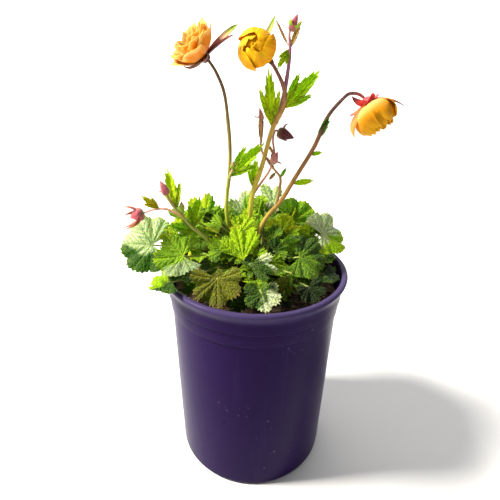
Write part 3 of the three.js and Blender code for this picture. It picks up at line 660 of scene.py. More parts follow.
def chips():
    """Bark chips and crumbs scattered on the mix: boxes with jittered corners, turned at random and sunk a
    third of their height, coarse to fine."""
    draws = np.random.default_rng(CHIP_SEED)
    count = CHIP_COUNT
    radius = CHIP_REACH * np.sqrt(draws.uniform(0.07, 1, count))
    turn = draws.uniform(0, 2 * np.pi, count)
    x, y = radius * np.cos(turn), radius * np.sin(turn)
    size = 1.1 + 6 * draws.uniform(0, 1, (count, 1)) ** 4
    widths, heights = draws.uniform(0.3, 0.7, count), draws.uniform(0.16, 0.4, count)
    sides = size * np.stack([np.ones(count), widths, heights], -1)
    square = ((-0.5, -0.5), (0.5, -0.5), (0.5, 0.5), (-0.5, 0.5))
    corners = np.array([[i, j, k] for k in (-0.5, 0.5) for i, j in square])
    boxes = corners[None] * sides[:, None] * draws.uniform(0.65, 1.1, (count, 8, 3))
    spin, tip = draws.uniform(0, np.pi, (count, 1)), draws.normal(0, 0.3, (count, 1))
    a, b, c = boxes[..., 0], boxes[..., 1], boxes[..., 2]
    a, c = a * np.cos(tip) - c * np.sin(tip), a * np.sin(tip) + c * np.cos(tip)
    a, b = a * np.cos(spin) - b * np.sin(spin), a * np.sin(spin) + b * np.cos(spin)
    base = mix_height(x, y) + 0.2 * sides[:, 2]
    points = np.stack([a + x[:, None], b + y[:, None], c + base[:, None]], -1)
    quads = np.array([[0, 3, 2, 1], [4, 5, 6, 7], [0, 1, 5, 4], [1, 2, 6, 5], [2, 3, 7, 6], [3, 0, 4, 7]])
    faces = (8 * np.arange(count)[:, None, None] + quads).reshape(-1, 4)
    tints = blend((0.08, 0.05, 0.03), (0.85, 0.62, 0.42), draws.uniform(0, 1, count) ** 2.2)
    piece = Piece(BARK)
    piece.add(points, [faces], np.repeat(tints, 8, axis=0))
    piece.make("bark_crumbs", sharp=25)


def crown():
    """The woody crown: a dome whose radius goes in by the root of 1 - share^2.2 on the way up, with knobs
    as sines round it that fade towards the top, ringed by the dry bases of old leaves, which are short
    curved scales that lean outwards."""
    sides = 96
    share = np.linspace(0, 1, 26)[:, None]
    turn = 2 * np.pi * np.arange(sides) / sides
    knobs = 0.7 * np.cos(5 * turn + 4 * share) + 0.45 * np.sin(11 * turn - 7 * share)
    knobs = knobs + 0.3 * np.cos(19 * turn)
    r = CROWN_RADIUS * np.sqrt(np.clip(1 - share ** 2.2, 0, 1)) + knobs * (1 - share)
    z = (CROWN_DEPTH + CROWN_TOP - 0.5) * share - CROWN_DEPTH + 0.5 * np.sin(9 * turn) * (1 - share) * share
    rings = np.stack([r * np.cos(turn), r * np.sin(turn), z], -1)[:-1]
    points = np.concatenate([[[0, 0, -CROWN_DEPTH - 0.5], [0, 0, CROWN_TOP - 0.4]], rings.reshape(-1, 3)])
    piece = Piece(BARK)
    piece.add(points, closed_rings(len(rings), sides), (0.2, 0.13, 0.06))
    draws = np.random.default_rng(CROWN_SEED)
    for k in range(LEAF_BASES):
        heading = k * GOLDEN_TURN
        ring = 5 + 14 * math.sqrt((k + 0.5) / LEAF_BASES)
        height = draws.uniform(5, 11)
        s = np.linspace(0, 1, 6)[:, None]
        across = np.linspace(-1, 1, 5)
        angle = heading + across * (1.9 - 1.1 * s ** 2) / ring
        out = ring + 0.35 * height * s ** 1.6 - 0.5 * across ** 2
        z = CROWN_TOP - 5.5 - (ring / 20) ** 4 * 3 + height * s
        grid = np.stack([out * np.cos(angle), out * np.sin(angle), np.broadcast_to(z, out.shape)], -1)
        dry = np.broadcast_to(s * draws.uniform(0.4, 1), out.shape)
        tint = blend((0.22, 0.14, 0.06), (0.5, 0.36, 0.18), dry)
        piece.sheet(grid[::-1], 0.3, tint[::-1])
    piece.make("woody_crown", ["crown"])


# Blades

def blade(reach, spread, lobes, notch, power, teeth, depth, droop, relief, rows=18, steps=4):
    """A toothed blade spread like a hand, as a grid over shares of the reach and angles round the stalk's
    end. Its margin lies at reach x (1 - droop x side^2) x (1 - (1 - notch) |2 t|^power) x (1 - depth
    w^0.9), where side runs from -1 to 1 over the lobes, t from -1/2 to 1/2 over each lobe, and w from 0 at
    the tip of a tooth to 1 between two; inner rows follow the same line with shallower lobes and no teeth.
    Over the relief, a fold runs up to each tooth, deeper ones along each lobe, and small swellings rise
    between the side veins. Returns the grid, the share of the reach and the angle of each point, and the
    vein map: the distance along the lobe's middle vein and away from it, as shares of the reach."""
    spread = math.radians(spread)
    phase = np.linspace(0, lobes, lobes * teeth * steps + 1)
    local = phase - np.clip(np.floor(phase), 0, lobes - 1) - 0.5
    angle = (phase / lobes - 0.5) * spread
    side = np.clip((2 * phase - lobes) / max(lobes - 1, 1), -1, 1)
    lobe = 1 - (1 - notch) * np.abs(2 * local) ** power
    cut = depth * (1 + 0.4 * np.sin(5.3 * phase + reach))
    tooth = 1 - cut * np.abs(2 * (teeth * local - np.round(teeth * local))) ** 0.9
    share = (np.linspace(0, 1, rows) ** 0.85)[:, None]
    distance = share * (1 - droop * side ** 2) * lobe ** (share ** 1.5) * tooth ** (share ** 5)
    turn = local * spread / lobes
    along, away = distance * np.cos(turn), np.abs(distance * np.sin(turn))
    ribs = 0.5 + 0.5 * np.cos(2 * np.pi * (along - VEIN_SLANT * away) / VEIN_STEP)
    grooves = 0.022 * np.exp(-(away / 0.035) ** 2) + 0.02 * ribs ** 3 * ease(away / 0.05)
    folds = 0.035 * distance * np.cos(4 * np.pi * local) * spread / lobes
    tines = 0.07 * distance ** 2 * np.cos(2 * np.pi * teeth * local) * spread / lobes / teeth
    height = relief(distance, angle) - folds + tines - grooves * ease(distance * 4)
    grid = reach * np.stack([distance * np.cos(angle), distance * np.sin(angle), height], -1)
    return grid, distance, np.broadcast_to(angle, distance.shape), np.stack([along, away], -1)


def placed(grid, origin, tip, face):
    """A blade's grid moved so that its stalk end is at the origin, its tip along tip and its upper side to
    face."""
    basis = np.stack([tip, np.cross(face, tip), face])
    return grid @ basis + origin


# Tints of the hairs.
STALK_DOWN, STEM_DOWN = (0.62, 0.62, 0.45), (0.66, 0.6, 0.5)
SEPAL_DOWN, BUD_DOWN = (0.6, 0.45, 0.42), (0.62, 0.48, 0.46)

# Tints of the leaves, in linear light: body, margin, and the share of painted sheen, a silvery painted
# highlight of the hairs. 'sunlit' is painted sunlight, the darkest tint is painted shade, 'deep' is a dark
# green used mostly as painted shade, and the silvery tint and 'blue' carry the painted sheen.
TINTS = {
    "sunlit": ((0.28, 0.45, 0.004), (0.38, 0.52, 0.01), 0.0),
    "yellow": ((0.38, 0.48, 0.004), (0.46, 0.52, 0.01), 0.0),
    "fresh": ((0.18, 0.33, 0.005), (0.29, 0.4, 0.01), 0.02),
    "mid": ((0.1, 0.21, 0.006), (0.18, 0.29, 0.01), 0.03),
    # A dark green, used mostly as painted shade.
    "deep": ((0.036, 0.085, 0.012), (0.08, 0.15, 0.012), 0.0),
    "blue": ((0.1, 0.18, 0.06), (0.25, 0.32, 0.05), 0.4),
    # A silvery painted sheen of the hairs.
    "silver": ((0.26, 0.36, 0.14), (0.45, 0.52, 0.16), 0.95),
    "olive": ((0.12, 0.13, 0.006), (0.14, 0.065, 0.03), 0.02),
    # Painted shade, for leaves low in the mound.
    "night": ((0.009, 0.022, 0.009), (0.018, 0.04, 0.009), 0.0),
    "gold": ((0.5, 0.36, 0.01), (0.5, 0.24, 0.01), 0.0),
    "rust": ((0.42, 0.2, 0.1), (0.34, 0.12, 0.06), 0.0),
    "pink": ((0.56, 0.26, 0.2), (0.5, 0.2, 0.17), 0.0),
}

# Basal leaves. Each row: where the stalk meets the blade (x, y, height), the heading of the tip, the way the
# upper side leans (heading and tilt), the reach from the stalk to the tip, the spread of the lobes, the ring
# and heading of the foot, the tint of the blade, the tint that it turns to towards an angle round the stalk's
# end, and its outline. Where the two tints differ they paint a lit part and a shaded or sheen-lit part of the
# blade, and the darkest tints paint shade on the leaves low in the mound.
FOOT_RINGS = (4.8, 9.8, 15.2)
BASAL_LEAVES = {
    "far_left": (-80, -14, 39.5, 180, 270, 55, 26, 290, 2, 178, "silver", "deep", 75, "round"),
    "left": (-54, -29, 38, 190, 262, 36, 22, 290, 1, 212, "fresh", "blue", 100, "ragged"),
    "left_rim": (-60, -43, 24, 165, 240, 14, 18, 270, 2, 220, "deep", "sunlit", 0, "lobed"),
    "front_brown": (-27, -46, 29, 272, 268, 50, 22, 250, 2, 244, "olive", "olive", 0, "lobed"),
    "front_bright": (-8.6, -36, 40, 95, 268, 62, 26.5, 115, 1, 262, "sunlit", "sunlit", 0, "jagged"),
    "front_drooping": (-4, -45, 41, 350, 280, 34, 21, 105, 1, 288, "deep", "silver", 75, "narrow"),
    "front_rim": (5, -54, 22.5, 280, 275, 26, 15.5, 290, 2, 268, "deep", "silver", 60, "lobed"),
    "front_pointed": (26.5, -40, 32, 275, 285, 76, 20, 80, 1, 312, "mid", "olive", 0, "narrow"),
    "front_dark": (39, -41, 22, 300, 290, 40, 13.5, 240, 2, 315, "night", "deep", 180, "lobed"),
    "right_dark": (53, -18, 20.5, 350, 300, 8, 13.5, 290, 2, 331, "deep", "night", 0, "round"),
    "right_low": (14, -31, 18, 300, 280, 10, 13, 260, 2, 284, "night", "night", 0, "round"),
    "right_middle": (50, -3, 29, 0, 285, 4, 14, 280, 2, 352, "mid", "deep", 90, "round"),
    "right": (53, 3, 45, 20, 300, 42, 22, 270, 1, 4, "silver", "sunlit", -60, "round"),
    "right_shade": (33.5, -19, 35, 352, 282, 42, 21.5, 250, 1, 338, "mid", "deep", 60, "round"),
    "right_back": (28, 12, 52, 68, 282, 66, 22.5, 200, 1, 34, "mid", "fresh", 20, "round"),
    "middle_rugose": (-7, 18, 53, 92, 268, 62, 23, 250, 0, 115, "fresh", "silver", 60, "jagged"),
    "middle_pale": (13.5, 26.5, 60, 94, 262, 68, 21, 130, 0, 52, "silver", "silver", 0, "narrow"),
    "middle_yellow": (-13, -12, 50, 60, 262, 50, 17, 150, 0, 236, "yellow", "sunlit", 0, "jagged"),
    "left_yellow": (-27, -8, 54, 176, 262, 16, 15, 170, 0, 184, "fresh", "yellow", 90, "jagged"),
    "left_inner": (-25, -24, 40.5, 112, 255, 58, 14, 230, 1, 238, "mid", "fresh", 0, "jagged"),
    "left_upper": (-43, 14, 51.5, 105, 262, 60, 22, 250, 1, 152, "fresh", "yellow", 10, "jagged"),
    "back_left": (-48, 28, 30, 148, 150, 10, 21.5, 290, 2, 138, "mid", "fresh", 0, "round"),
    "back_middle": (-16, 50, 30, 106, 100, 14, 21.5, 290, 2, 106, "fresh", "mid", 90, "round"),
    "back_right": (22, 48, 31, 66, 70, 12, 21.5, 290, 2, 64, "mid", "blue", 0, "round"),
    "back_far_right": (50, 26, 28, 28, 30, 10, 20, 290, 2, 26, "fresh", "deep", -90, "round"),
    "left_deep": (-41, 7, 25, 182, 255, 10, 16, 260, 2, 158, "silver", "yellow", 0, "round"),
    "middle_right": (20, -2, 47, 78, 265, 60, 17, 230, 0, 350, "fresh", "yellow", 20, "jagged"),
    "right_front": (33.5, -27, 15.5, 300, 290, 6, 12.5, 270, 2, 299, "deep", "deep", 0, "round"),
    "back_inner": (2, 34, 46, 88, 90, 20, 19, 280, 1, 88, "fresh", "mid", 0, "round"),
    "right_inner": (14, -18, 39, 60, 275, 62, 13, 190, 2, 9, "deep", "mid", -60, "jagged"),
    "back_high": (-27, 32, 51, 120, 110, 34, 18, 240, 1, 120, "fresh", "blue", 90, "jagged"),
    "back_top": (31, 34, 49, 52, 55, 36, 17, 240, 1, 62, "mid", "yellow", 0, "round"),
    "right_top": (46, 20, 42, 20, 25, 30, 15.5, 240, 2, 45, "mid", "fresh", 0, "round"),
}


# Outlines of the blades: how deep the notches between lobes reach, how square the lobes are, the teeth of a
# lobe, how deep those are, and how far the margin curls down or up.
FORMS = {
    "round": (0.87, 2.6, 7, 0.05, -0.16),
    "ragged": (0.88, 2.4, 6, 0.1, 0.07),
    "lobed": (0.78, 2.4, 6, 0.1, -0.05),
    "narrow": (0.68, 1.9, 6, 0.1, -0.05),
    "jagged": (0.76, 2, 5, 0.13, 0.04),
}


def leaf_tints(first, second, towards, distance, angle, phase):
    """Tints over a blade: from the first to the second towards an angle, with a soft patchy border between
    them, which paints light, shade and sheen over the blade where the two differ; each turns to its margin
    colour in the last quarter of the way out."""
    patches = 0.18 * np.sin(5 * angle + phase) * distance + 0.12 * np.sin(9 * distance + 3 * angle)
    share = ease((distance * np.cos(angle - math.radians(towards)) + patches - 0.12) / 0.3)
    edge = ease((distance - 0.72) / 0.24) * 0.7
    sides = []
    for body, margin, silver in (TINTS[first], TINTS[second]):
        colour = blend(body, margin, edge)
        sides.append(np.concatenate([colour, np.full(distance.shape + (1,), silver)], -1))
    return sides[0] * (1 - share[..., None]) + sides[1] * share[..., None]


def pale_under(tints):
    """The underside: paler, duller and greyer than the upper side."""
    colour = blend(tints[..., :3], (0.25, 0.34, 0.09), np.full(tints.shape[:-1], 0.5))
    return np.concatenate([colour, tints[..., 3:] * 0.5], -1)


def leaflets(piece, draws, path, tints):
    """Pairs of small toothed leaflets along a stalk, larger towards the blade, held a little forward and
    up."""
    along, side, _ = ring_frame(path)
    for k, (place, reach) in enumerate(((0.34, 4), (0.5, 6.5), (0.66, 5), (0.84, 8.5))):
        at = int(place * (len(path) - 1))
        for hand in (-1, 1):
            tip = unit(hand * side[at] + 0.6 * along[at] + draws.normal(0, 0.2, 3) + (0, 0, 0.15))
            face = unit(np.cross(tip, np.cross(UP + (0, -0.5, 0), tip)))
            size = reach * draws.uniform(0.75, 1.25)
            small_leaf(piece, path[at] + tip * 0.5, tip, face, size, tints[k % 2], k)


def small_leaf(piece, at, tip, face, reach, tint, phase, teeth=2, rows=3, steps=2):
    """A young leaf or leaflet: a rounded blade of three shallow lobes with sharp teeth, which rises on both
    sides of its middle vein, sinks with the square of the way out and ripples with its cube."""
    relief = lambda d, a: 0.3 * d * np.abs(np.sin(a)) - 0.2 * d ** 2 + 0.06 * d ** 3 * np.sin(7 * a + phase)
    grid, distance, angle, net = blade(reach, 150, 3, 0.72, 2, teeth, 0.16, 0.25, relief, rows, steps)
    colours = leaf_tints(tint, tint, 0, distance, angle, phase)
    piece.sheet(placed(grid, at, tip, face), YOUNG_SKIN, colours, pale_under(colours), net, fan=True)


def basal_leaf(index, name, row):
    """One leaf: a stalk along a cubic curve from the crown, small leaflets on it, and the blade at its
    end. The blade's height is a shallow bowl, folded along its middle and its lobes, waved at its margin
    and drooping."""
    x, y, height, heading, face_heading, face_tilt, reach, spread, ring, foot_heading, *colours, form = row
    first, second, towards = colours
    draws = np.random.default_rng(LEAF_SEED + index)
    attach = np.array([x, y, height], float)
    foot = leaning(foot_heading, 90) * FOOT_RINGS[ring]
    start = foot + UP * CROWN_TOP
    straight = attach - start
    length = np.linalg.norm(straight)
    arrival = unit(straight * (1, 1, 0.45))
    corners = [start, start + UP * 0.5 * length, attach - arrival * 0.4 * length, attach]
    arch = cubic(corners, np.linspace(0, 1, 23))
    path = np.concatenate([[foot - UP * SOCKET_DEPTH, foot - UP * 3], arch])
    share = np.linspace(0, 1, len(path))
    radii = PETIOLE_RADIUS * (1.05 - 0.45 * share)
    body = np.asarray(TINTS[first][0])
    stalk_tint = blend((0.24, 0.12, 0.06), blend(body, (0.42, 0.45, 0.12), 0.55), ease((share - 0.1) / 0.35))
    piece = Piece(LEAF)
    piece.tube(path, radii, 8, stalk_tint)
    hairs(piece, draws, path[3:], radii[3:], 50, 0.9, STALK_DOWN)
    # The leaflets of the low leaves are darker: painted shade.
    leaflets(piece, draws, path[4:], ("deep", "mid") if height < 26 else ("mid", first))
    lobes = 5 if spread > 230 else 3
    phase = PHASE_STEP * index
    lobe_angle = math.radians(spread) / lobes

    def relief(d, a):
        bowl = 0.1 * d ** 2 + 0.14 * d * np.abs(np.sin(a))
        pleats = 0.065 * d * np.cos(2 * np.pi * a / lobe_angle)
        waves = 0.1 * d ** 3 * np.sin(3 * a + phase) + 0.045 * d ** 4 * np.sin(8 * a + 2 * phase)
        return bowl + pleats + waves - 0.14 * (d * np.cos(a)) ** 2 + curl * d ** 4

    notch, power, teeth, depth, curl = FORMS[form]
    grid, distance, angle, net = blade(reach, spread, lobes, notch, power, teeth, depth, 0.16, relief)
    face = leaning(face_heading, face_tilt)
    level = leaning(heading, 90)
    tip = unit(level - (level @ face) * face)
    tints = leaf_tints(first, second, towards, distance, angle, phase)
    piece.sheet(placed(grid, attach, tip, face), LEAF_SKIN, tints, pale_under(tints), net, fan=True)
    piece.make(f"basal_{name}", [f"leaf_{name}"])


# Young leaves that stand between the larger ones: the middle of the blade (x, y, height), its tint and its
# reach. The low ones by the rim have the darkest tints, as painted shade.
BETWEEN = (
    (-59, -14, 67, "fresh", 12), (-58, -8, 57, "yellow", 13), (-47, 0, 66, "mid", 14),
    (-40, 5, 52, "fresh", 13), (-34, 8, 58, "mid", 12), (-28, 10, 51, "fresh", 12),
    (-25, 14, 58, "mid", 12), (12, 12, 59, "mid", 12), (18, 14, 62, "fresh", 13), (8, 18, 64, "silver", 12),
    (24, 5, 54, "sunlit", 14), (-62, -14, 51, "sunlit", 12), (-51, -8, 49, "fresh", 14),
    (-68, -18, 48, "yellow", 10), (28, 12, 60, "yellow", 14), (2, 16, 66, "fresh", 12),
    (-13, -6, 49, "yellow", 13), (-20, -14, 45, "fresh", 13), (22, -14, 47, "mid", 13),
    (14, -8, 51, "mid", 12), (34, -5, 45, "fresh", 13), (-53, -20, 43, "deep", 12),
    (-42, -18, 43, "mid", 13), (-35, -6, 45, "yellow", 13), (43, 4, 50, "sunlit", 12),
    (4, 2, 55, "fresh", 12), (-5, 6, 60, "sunlit", 12), (36, 14, 53, "fresh", 14),
    (-32, 4, 60, "fresh", 12), (-38, -12, 52, "fresh", 12), (-52, -12, 58, "sunlit", 11),
    (-42, 2, 60, "deep", 12), (30, -2, 50, "yellow", 13), (-27, 12, 56, "fresh", 13),
    (-27, 3, 46, "mid", 13), (7, 16, 62, "mid", 13), (49, 10, 49, "mid", 13), (20, -50, 15, "night", 11),
    (47, -33, 15, "night", 12), (58, -12, 18, "deep", 11), (-46, -36, 17, "deep", 11),
    (-6, -52, 14, "deep", 10), (60, 6, 24, "night", 12), (45, 4, 46, "fresh", 13),
    (41, 8, 50, "sunlit", 12), (48, -3, 41, "mid", 13),
)


def young_leaf(piece, draws, k, attach, foot, heading, tint, reach, tilt):
    """A young leaf with its upper side turned to the front, on its own thin stalk from the crown, a cubic
    curve that starts upright."""
    arch = cubic([foot, foot + UP * 0.7 * attach[2], attach * (0.8, 0.8, 1), attach], np.linspace(0, 1, 12))
    colour = blend((0.3, 0.22, 0.08), TINTS[tint][0], np.linspace(0, 1, 12))
    piece.tube(arch, np.linspace(1, 0.6, 12), 6, colour)
    face = unit(leaning(270, tilt) + draws.normal(0, 0.28, 3))
    level = leaning(heading, 80)
    tip = unit(level - (level @ face) * face)
    small_leaf(piece, attach, tip, face, reach, tint, k, 4, 6, 4)
    return arch


def young_leaves():
    """Young leaves that fill the inside of the mound: some spread by the golden turn, low at the rim and
    higher in the middle, with leaflets, and some with their tips up between the larger leaves."""
    draws = np.random.default_rng(YOUNG_SEED)
    piece = Piece(LEAF)
    count = 50
    for k in range(count):
        heading = math.degrees(k * GOLDEN_TURN)
        out = 8 + 40 * math.sqrt((k + 0.5) / count)
        height = 50 - 0.7 * out + draws.uniform(-7, 5)
        attach = leaning(heading, 90) * out + UP * height
        foot = leaning(heading, 90) * (6 + 0.22 * out)
        tint = ("mid", "deep", "fresh", "mid")[k % 4]
        towards = heading + draws.uniform(-40, 40)
        arch = young_leaf(piece, draws, k, attach, foot, towards, tint, draws.uniform(9, 14), 45)
        leaflets(piece, draws, arch[3:], (tint, "fresh"))
    for k, (x, y, z, tint, reach) in enumerate(BETWEEN):
        attach = np.array([x, y, z - 0.4 * reach])
        foot = leaning(math.degrees(math.atan2(y, x)), 90) * 11
        young_leaf(piece, draws, k, attach, foot, 90 + draws.uniform(-55, 55), tint, reach, 58)
    piece.make("young_leaves")


# Blooms and buds

def axis_frame(base, axis):
    """The rows of a frame with its third way along an axis and its first on the side that looks up."""
    z = unit(np.asarray(axis, float))
    x = unit(UP - (UP @ z) * z)
    return np.stack([x, np.cross(z, x), z]), np.asarray(base, float)


# Tints of sepals and buds, in linear light.
MAROON, CRIMSON, ROSE = (0.1, 0.02, 0.026), (0.76, 0.09, 0.09), (0.52, 0.22, 0.18)
ORANGE, CREAM, LIME, BROWN = (0.85, 0.34, 0.01), (0.55, 0.52, 0.2), (0.26, 0.4, 0.01), (0.2, 0.08, 0.02)
CLAY, PLUM, AMBER = (0.24, 0.09, 0.02), (0.42, 0.09, 0.12), (0.34, 0.1, 0.02)

# A bloom has the point where its stalk enters it, its axis, the size and tint of its cup, its sepals, the
# colours of its petals (claw, the side towards the axis, the side away from it, rim), how far the claw's
# colour reaches, how deep the fold along each petal is as a share of its distance from the axis, and its
# layers of petals. A sepal has its heading round the axis from the side that looks up, its width, the
# distance of its tip from the axis, the height of the tip, its twist, and its tints at foot and tip. A
# layer has how many petals, the heading of the first, half the angle that each wraps, the ruffle of its
# rim, and the four corners of its middle line, a cubic curve, as (distance from the axis, height).
# Of the petals' colours, the claw's is partly the petal's own base colour and partly painted shade deep in
# the cup, and the rim's is partly a painted highlight.
BLOOMS = {
    "left": {
        "base": (-35.4, 0, 169.4),
        "axis": (-0.66, -0.36, 0.66),
        "cup": (1, MAROON),
        "sepals": (
            (-14, 6, 29.3, 0, 0.9, ROSE, LIME), (-112, 6.5, 11.5, 5.5, 0, CLAY, CLAY),
            (152, 5.5, 18.6, 18.6, 0.5, CLAY, ROSE), (-165, 6.5, 15.5, 11, 0.3, CLAY, BROWN),
            (-31, 6, 23.8, -0.6, -0.7, MAROON, ROSE),
        ),
        "petal_tints": ((0.66, 0.14, 0.004), (0.76, 0.44, 0.1), (0.74, 0.23, 0.005), (0.84, 0.6, 0.16)),
        "claw": 0.1,
        "fold": 0.03,
        "layers": (
            (5, 10, 46, 1.1, ((2.5, 4.9), (10.5, 5.5), (13, 10), (17.6, 16))),
            (5, 46, 46, 1.2, ((2.3, 6.3), (8.4, 7), (10.4, 12), (14.8, 18))),
            (5, 20, 46, 1.2, ((2, 7), (6, 8.6), (7.6, 13), (11.4, 19.2))),
            (4, 80, 50, 1, ((1.8, 7.4), (3.5, 9), (5, 14), (7.4, 19.6))),
            (3, 30, 50, 0.7, ((1.4, 7.6), (2.4, 10), (2.8, 14), (3.4, 19))),
        ),
    },
    "middle": {
        "base": (-0.6, 9.8, 173.6),
        "axis": (-0.27, -0.91, 0.31),
        "cup": (1, MAROON),
        "sepals": (
            (-23, 5.5, 24, 7.4, -0.6, CREAM, LIME), (-54, 5.5, 13, 6, 0, CRIMSON, ROSE),
            (172, 3.6, 13.6, 9.5, 0, CREAM, CREAM), (-122, 5, 14, 6, 0, LIME, MAROON),
            (75, 5, 15, 5, 0, LIME, MAROON),
        ),
        "petal_tints": ((0.72, 0.17, 0.001), (0.74, 0.3, 0.001), (0.76, 0.33, 0.001), (0.86, 0.5, 0.002)),
        "claw": 0.1,
        "fold": 0.03,
        "layers": (
            (3, 0, 68, 0.3, ((2.5, 4.9), (13.4, 4.5), (17.4, 12.4), (6.6, 17.4))),
            (3, 50, 68, 0.2, ((2.3, 6.3), (11.4, 6.2), (15.4, 12.8), (3.6, 18))),
            (3, 15, 88, 0.1, ((2, 7), (10.6, 6.8), (13.8, 13.2), (-2, 17.6))),
        ),
    },
    "right": {
        "base": (72.3, 2, 146.9),
        "axis": (0.58, -0.45, -0.68),
        "cup": (1.25, CRIMSON),
        "sepals": (
            (-50, 7.5, 10, 1.5, 0.4, CRIMSON, CRIMSON), (-48, 4.5, 20, 21.4, 0.4, ORANGE, MAROON),
            (138, 8, 21, 17.8, -1.1, ORANGE, ORANGE), (166, 6, 14.3, 1.5, -0.8, ORANGE, CRIMSON),
            (25, 7, 8, 1.2, 0, CRIMSON, CRIMSON), (100, 5.5, 10.5, -5.5, 0, CRIMSON, MAROON),
        ),
        "petal_tints": ((0.88, 0.42, 0.14), (0.5, 0.19, 0.001), (0.58, 0.24, 0.001), (0.76, 0.4, 0.003)),
        "claw": 0.2,
        "fold": 0.14,
        "layers": (
            (5, 20, 46, 1.3, ((2.5, 4.9), (8.5, 4.4), (18, 13.5), (7, 22.4))),
            (1, 124, 50, 1, ((2.5, 4.9), (12, 4.4), (21.4, 12.5), (10, 23))),
            (4, 50, 54, 1, ((2.3, 6.3), (6.6, 6.4), (16, 14.5), (3, 23.2))),
            (4, 110, 60, 0.5, ((2, 7), (4, 8), (13, 15), (0.3, 23.2))),
        ),
    },
}


def petal_grid(curve, azimuth, half_angle, ruffle, fold, phase):
    """A petal round its bloom's axis. Its middle follows a cubic curve of distance and height; it wraps
    the axis by a share of its half angle that widens from the claw, with one fold along it; the rim is
    rounded, notched in the middle, and ruffled by sines of the way across it that grow towards the rim."""
    s = (np.linspace(0, 1, 18) ** 0.9)[:, None]
    across = np.linspace(-1, 1, 31)
    along = s * (1 - 0.04 * across ** 2 - 0.12 * across ** 8 - 0.03 * np.exp(-(across / 0.14) ** 2) * s ** 6)
    middle = cubic([(*corner, 0) for corner in curve], along)
    crease = np.exp(-((across - 0.3 * np.sin(phase)) / 0.16) ** 2) * np.sin(np.pi * along)
    radius = middle[..., 0] * (1 + 0.13 * across * along - 0.05 * (across * along) ** 2 - fold * crease)
    radius = radius + 0.6 * across * along ** 2
    width = np.interp(s, [0, 0.3, 0.6, 0.85, 1], [0.4, 0.8, 1, 1, 0.93])
    angle = np.radians(azimuth + across * half_angle * width)
    wave = ruffle * along ** 2 * np.sin(1.6 * np.pi * across + phase)
    wave = wave + 0.25 * ruffle * along ** 5 * np.sin(4 * np.pi * across + 2 * phase)
    wave = wave + 0.3 * min(1, ruffle) ** 2 * along ** 9 * np.sin(9 * np.pi * across + phase)
    out = radius + 0.6 * wave
    return np.stack([out * np.cos(angle), out * np.sin(angle), middle[..., 1] + wave], -1), along, across


def sepal_grid(azimuth, width, far, high, twist=0):
    """A pointed sepal: out of the cup and up to its tip on a cubic curve, widest before its middle, hollow
    across like a gutter, and turned round its own line by the twist, in radians, on its way to the tip."""
    s = np.linspace(0, 1, 15)
    across = np.linspace(-1, 1, 7)
    corners = [(1.6, 2, 0), (0.3 * far + 1, 2.2, 0), (0.8 * far + 2, 0.3 * high + 1, 0), (far, high, 0)]
    middle = cubic(corners, s)
    way = unit(np.gradient(middle, axis=0))
    half = 0.5 * width * (0.8 + 1.1 * s - 1.9 * s ** 2) * (1 - 0.3 * s ** 8) + 0.06
    out, side = leaning(azimuth, 90), leaning(azimuth + 90, 90)
    lift = -way[:, 1:2] * out + way[:, :1] * UP
    turn = (twist * s)[:, None]
    wide = side * np.cos(turn) + lift * np.sin(turn)
    deep = lift * np.cos(turn) - side * np.sin(turn)
    centre = middle[:, :1] * out + middle[:, 1:2] * UP
    spread = (half[:, None] * across)[..., None]
    hollow = (0.45 * half[:, None] * across ** 2)[..., None]
    grid = centre[:, None] + wide[:, None] * spread + deep[:, None] * hollow
    return grid, np.broadcast_to(s[:, None], (len(s), len(across)))


def petals(name, bloom, rows, base):
    """The petals of one bloom on a small core, in the frame of its axis. Each side of a petal goes from the
    claw's colour to its own, and both turn to the rim's along a wavy border and towards the side edges. The
    claw's colour is partly the petal's own and partly painted shade deep in the cup, and the paler rim and
    edges are partly a painted highlight."""
    claw, face, back, rim = bloom["petal_tints"]
    piece = Piece(PETAL)
    core, faces = turned([[0, 3.6], [2.6, 3.6], [3.4, 4.6], [3, 6.8], [1.6, 7], [0, 7]], 24)
    piece.add(core @ rows + base, faces, claw)
    for j, (count, start, half_angle, ruffle, curve) in enumerate(bloom["layers"]):
        for k in range(count):
            phase = PHASE_STEP * (k + 3 * j)
            azimuth = start + 360 * k / count
            grid, along, across = petal_grid(curve, azimuth, half_angle, ruffle, bloom["fold"], phase)
            # Painted highlight, in part: paler along the rim and the side edges.
            border = ease((along - 0.76 - 0.05 * np.sin(7 * across + phase)) / 0.2)
            border = np.clip(border * 0.8 + 0.3 * ease((np.abs(across) - 0.75) / 0.25) * along, 0, 1)
            # Painted shade, in part: the claw's colour deep in the cup.
            share = ease((along - bloom["claw"]) / 0.5)
            inner, outer = (blend(blend(claw, side, share), rim, border) for side in (face, back))
            net = np.stack([along, np.broadcast_to(across, along.shape) + k], -1)
            piece.sheet(grid @ rows + base, PETAL_SKIN, inner, outer, net)
    piece.make(f"{name}_bloom_petals", [f"petals_{name}"])


def calyx(name, bloom, rows, base):
    """The cup under a bloom, turned from a profile and swelled by a twentieth in ten ribs round it, its
    sepals in two tints each, and its down."""
    size, tint = bloom["cup"]
    draws = np.random.default_rng(CALYX_SEED + len(name))
    piece = Piece(CALYX)
    profile = [[0, -0.5], [1.5, -0.5], [2.3, -0.3], [3.1, 0.8], [3.7, 2.2], [3.5, 3], [2.4, 3.3], [0, 3.3]]
    cup, faces = turned(profile, 28)
    turn = np.arctan2(cup[:, 1], cup[:, 0])
    cup[:, :2] *= (1 + 0.05 * np.cos(10 * turn))[:, None]
    piece.add(size * cup @ rows + base, faces, tint)
    for *shape, foot, tip in bloom["sepals"]:
        grid, share = sepal_grid(*shape)
        colour = blend(foot, tip, ease((share - 0.35) / 0.5))
        piece.sheet(grid @ rows + base, SEPAL_SKIN, colour, blend(colour, tint, np.full(share.shape, 0.4)))
        hairs(piece, draws, grid[:, 3] @ rows + base, 0.3, 26, 0.7, SEPAL_DOWN)
    path = np.array([[0, 0, -0.5], [0, 0, 3]]) @ rows + base
    hairs(piece, draws, path, 2.8, 70, 1, SEPAL_DOWN)
    piece.make(f"{name}_bloom_calyx", [f"calyx_{name}"])


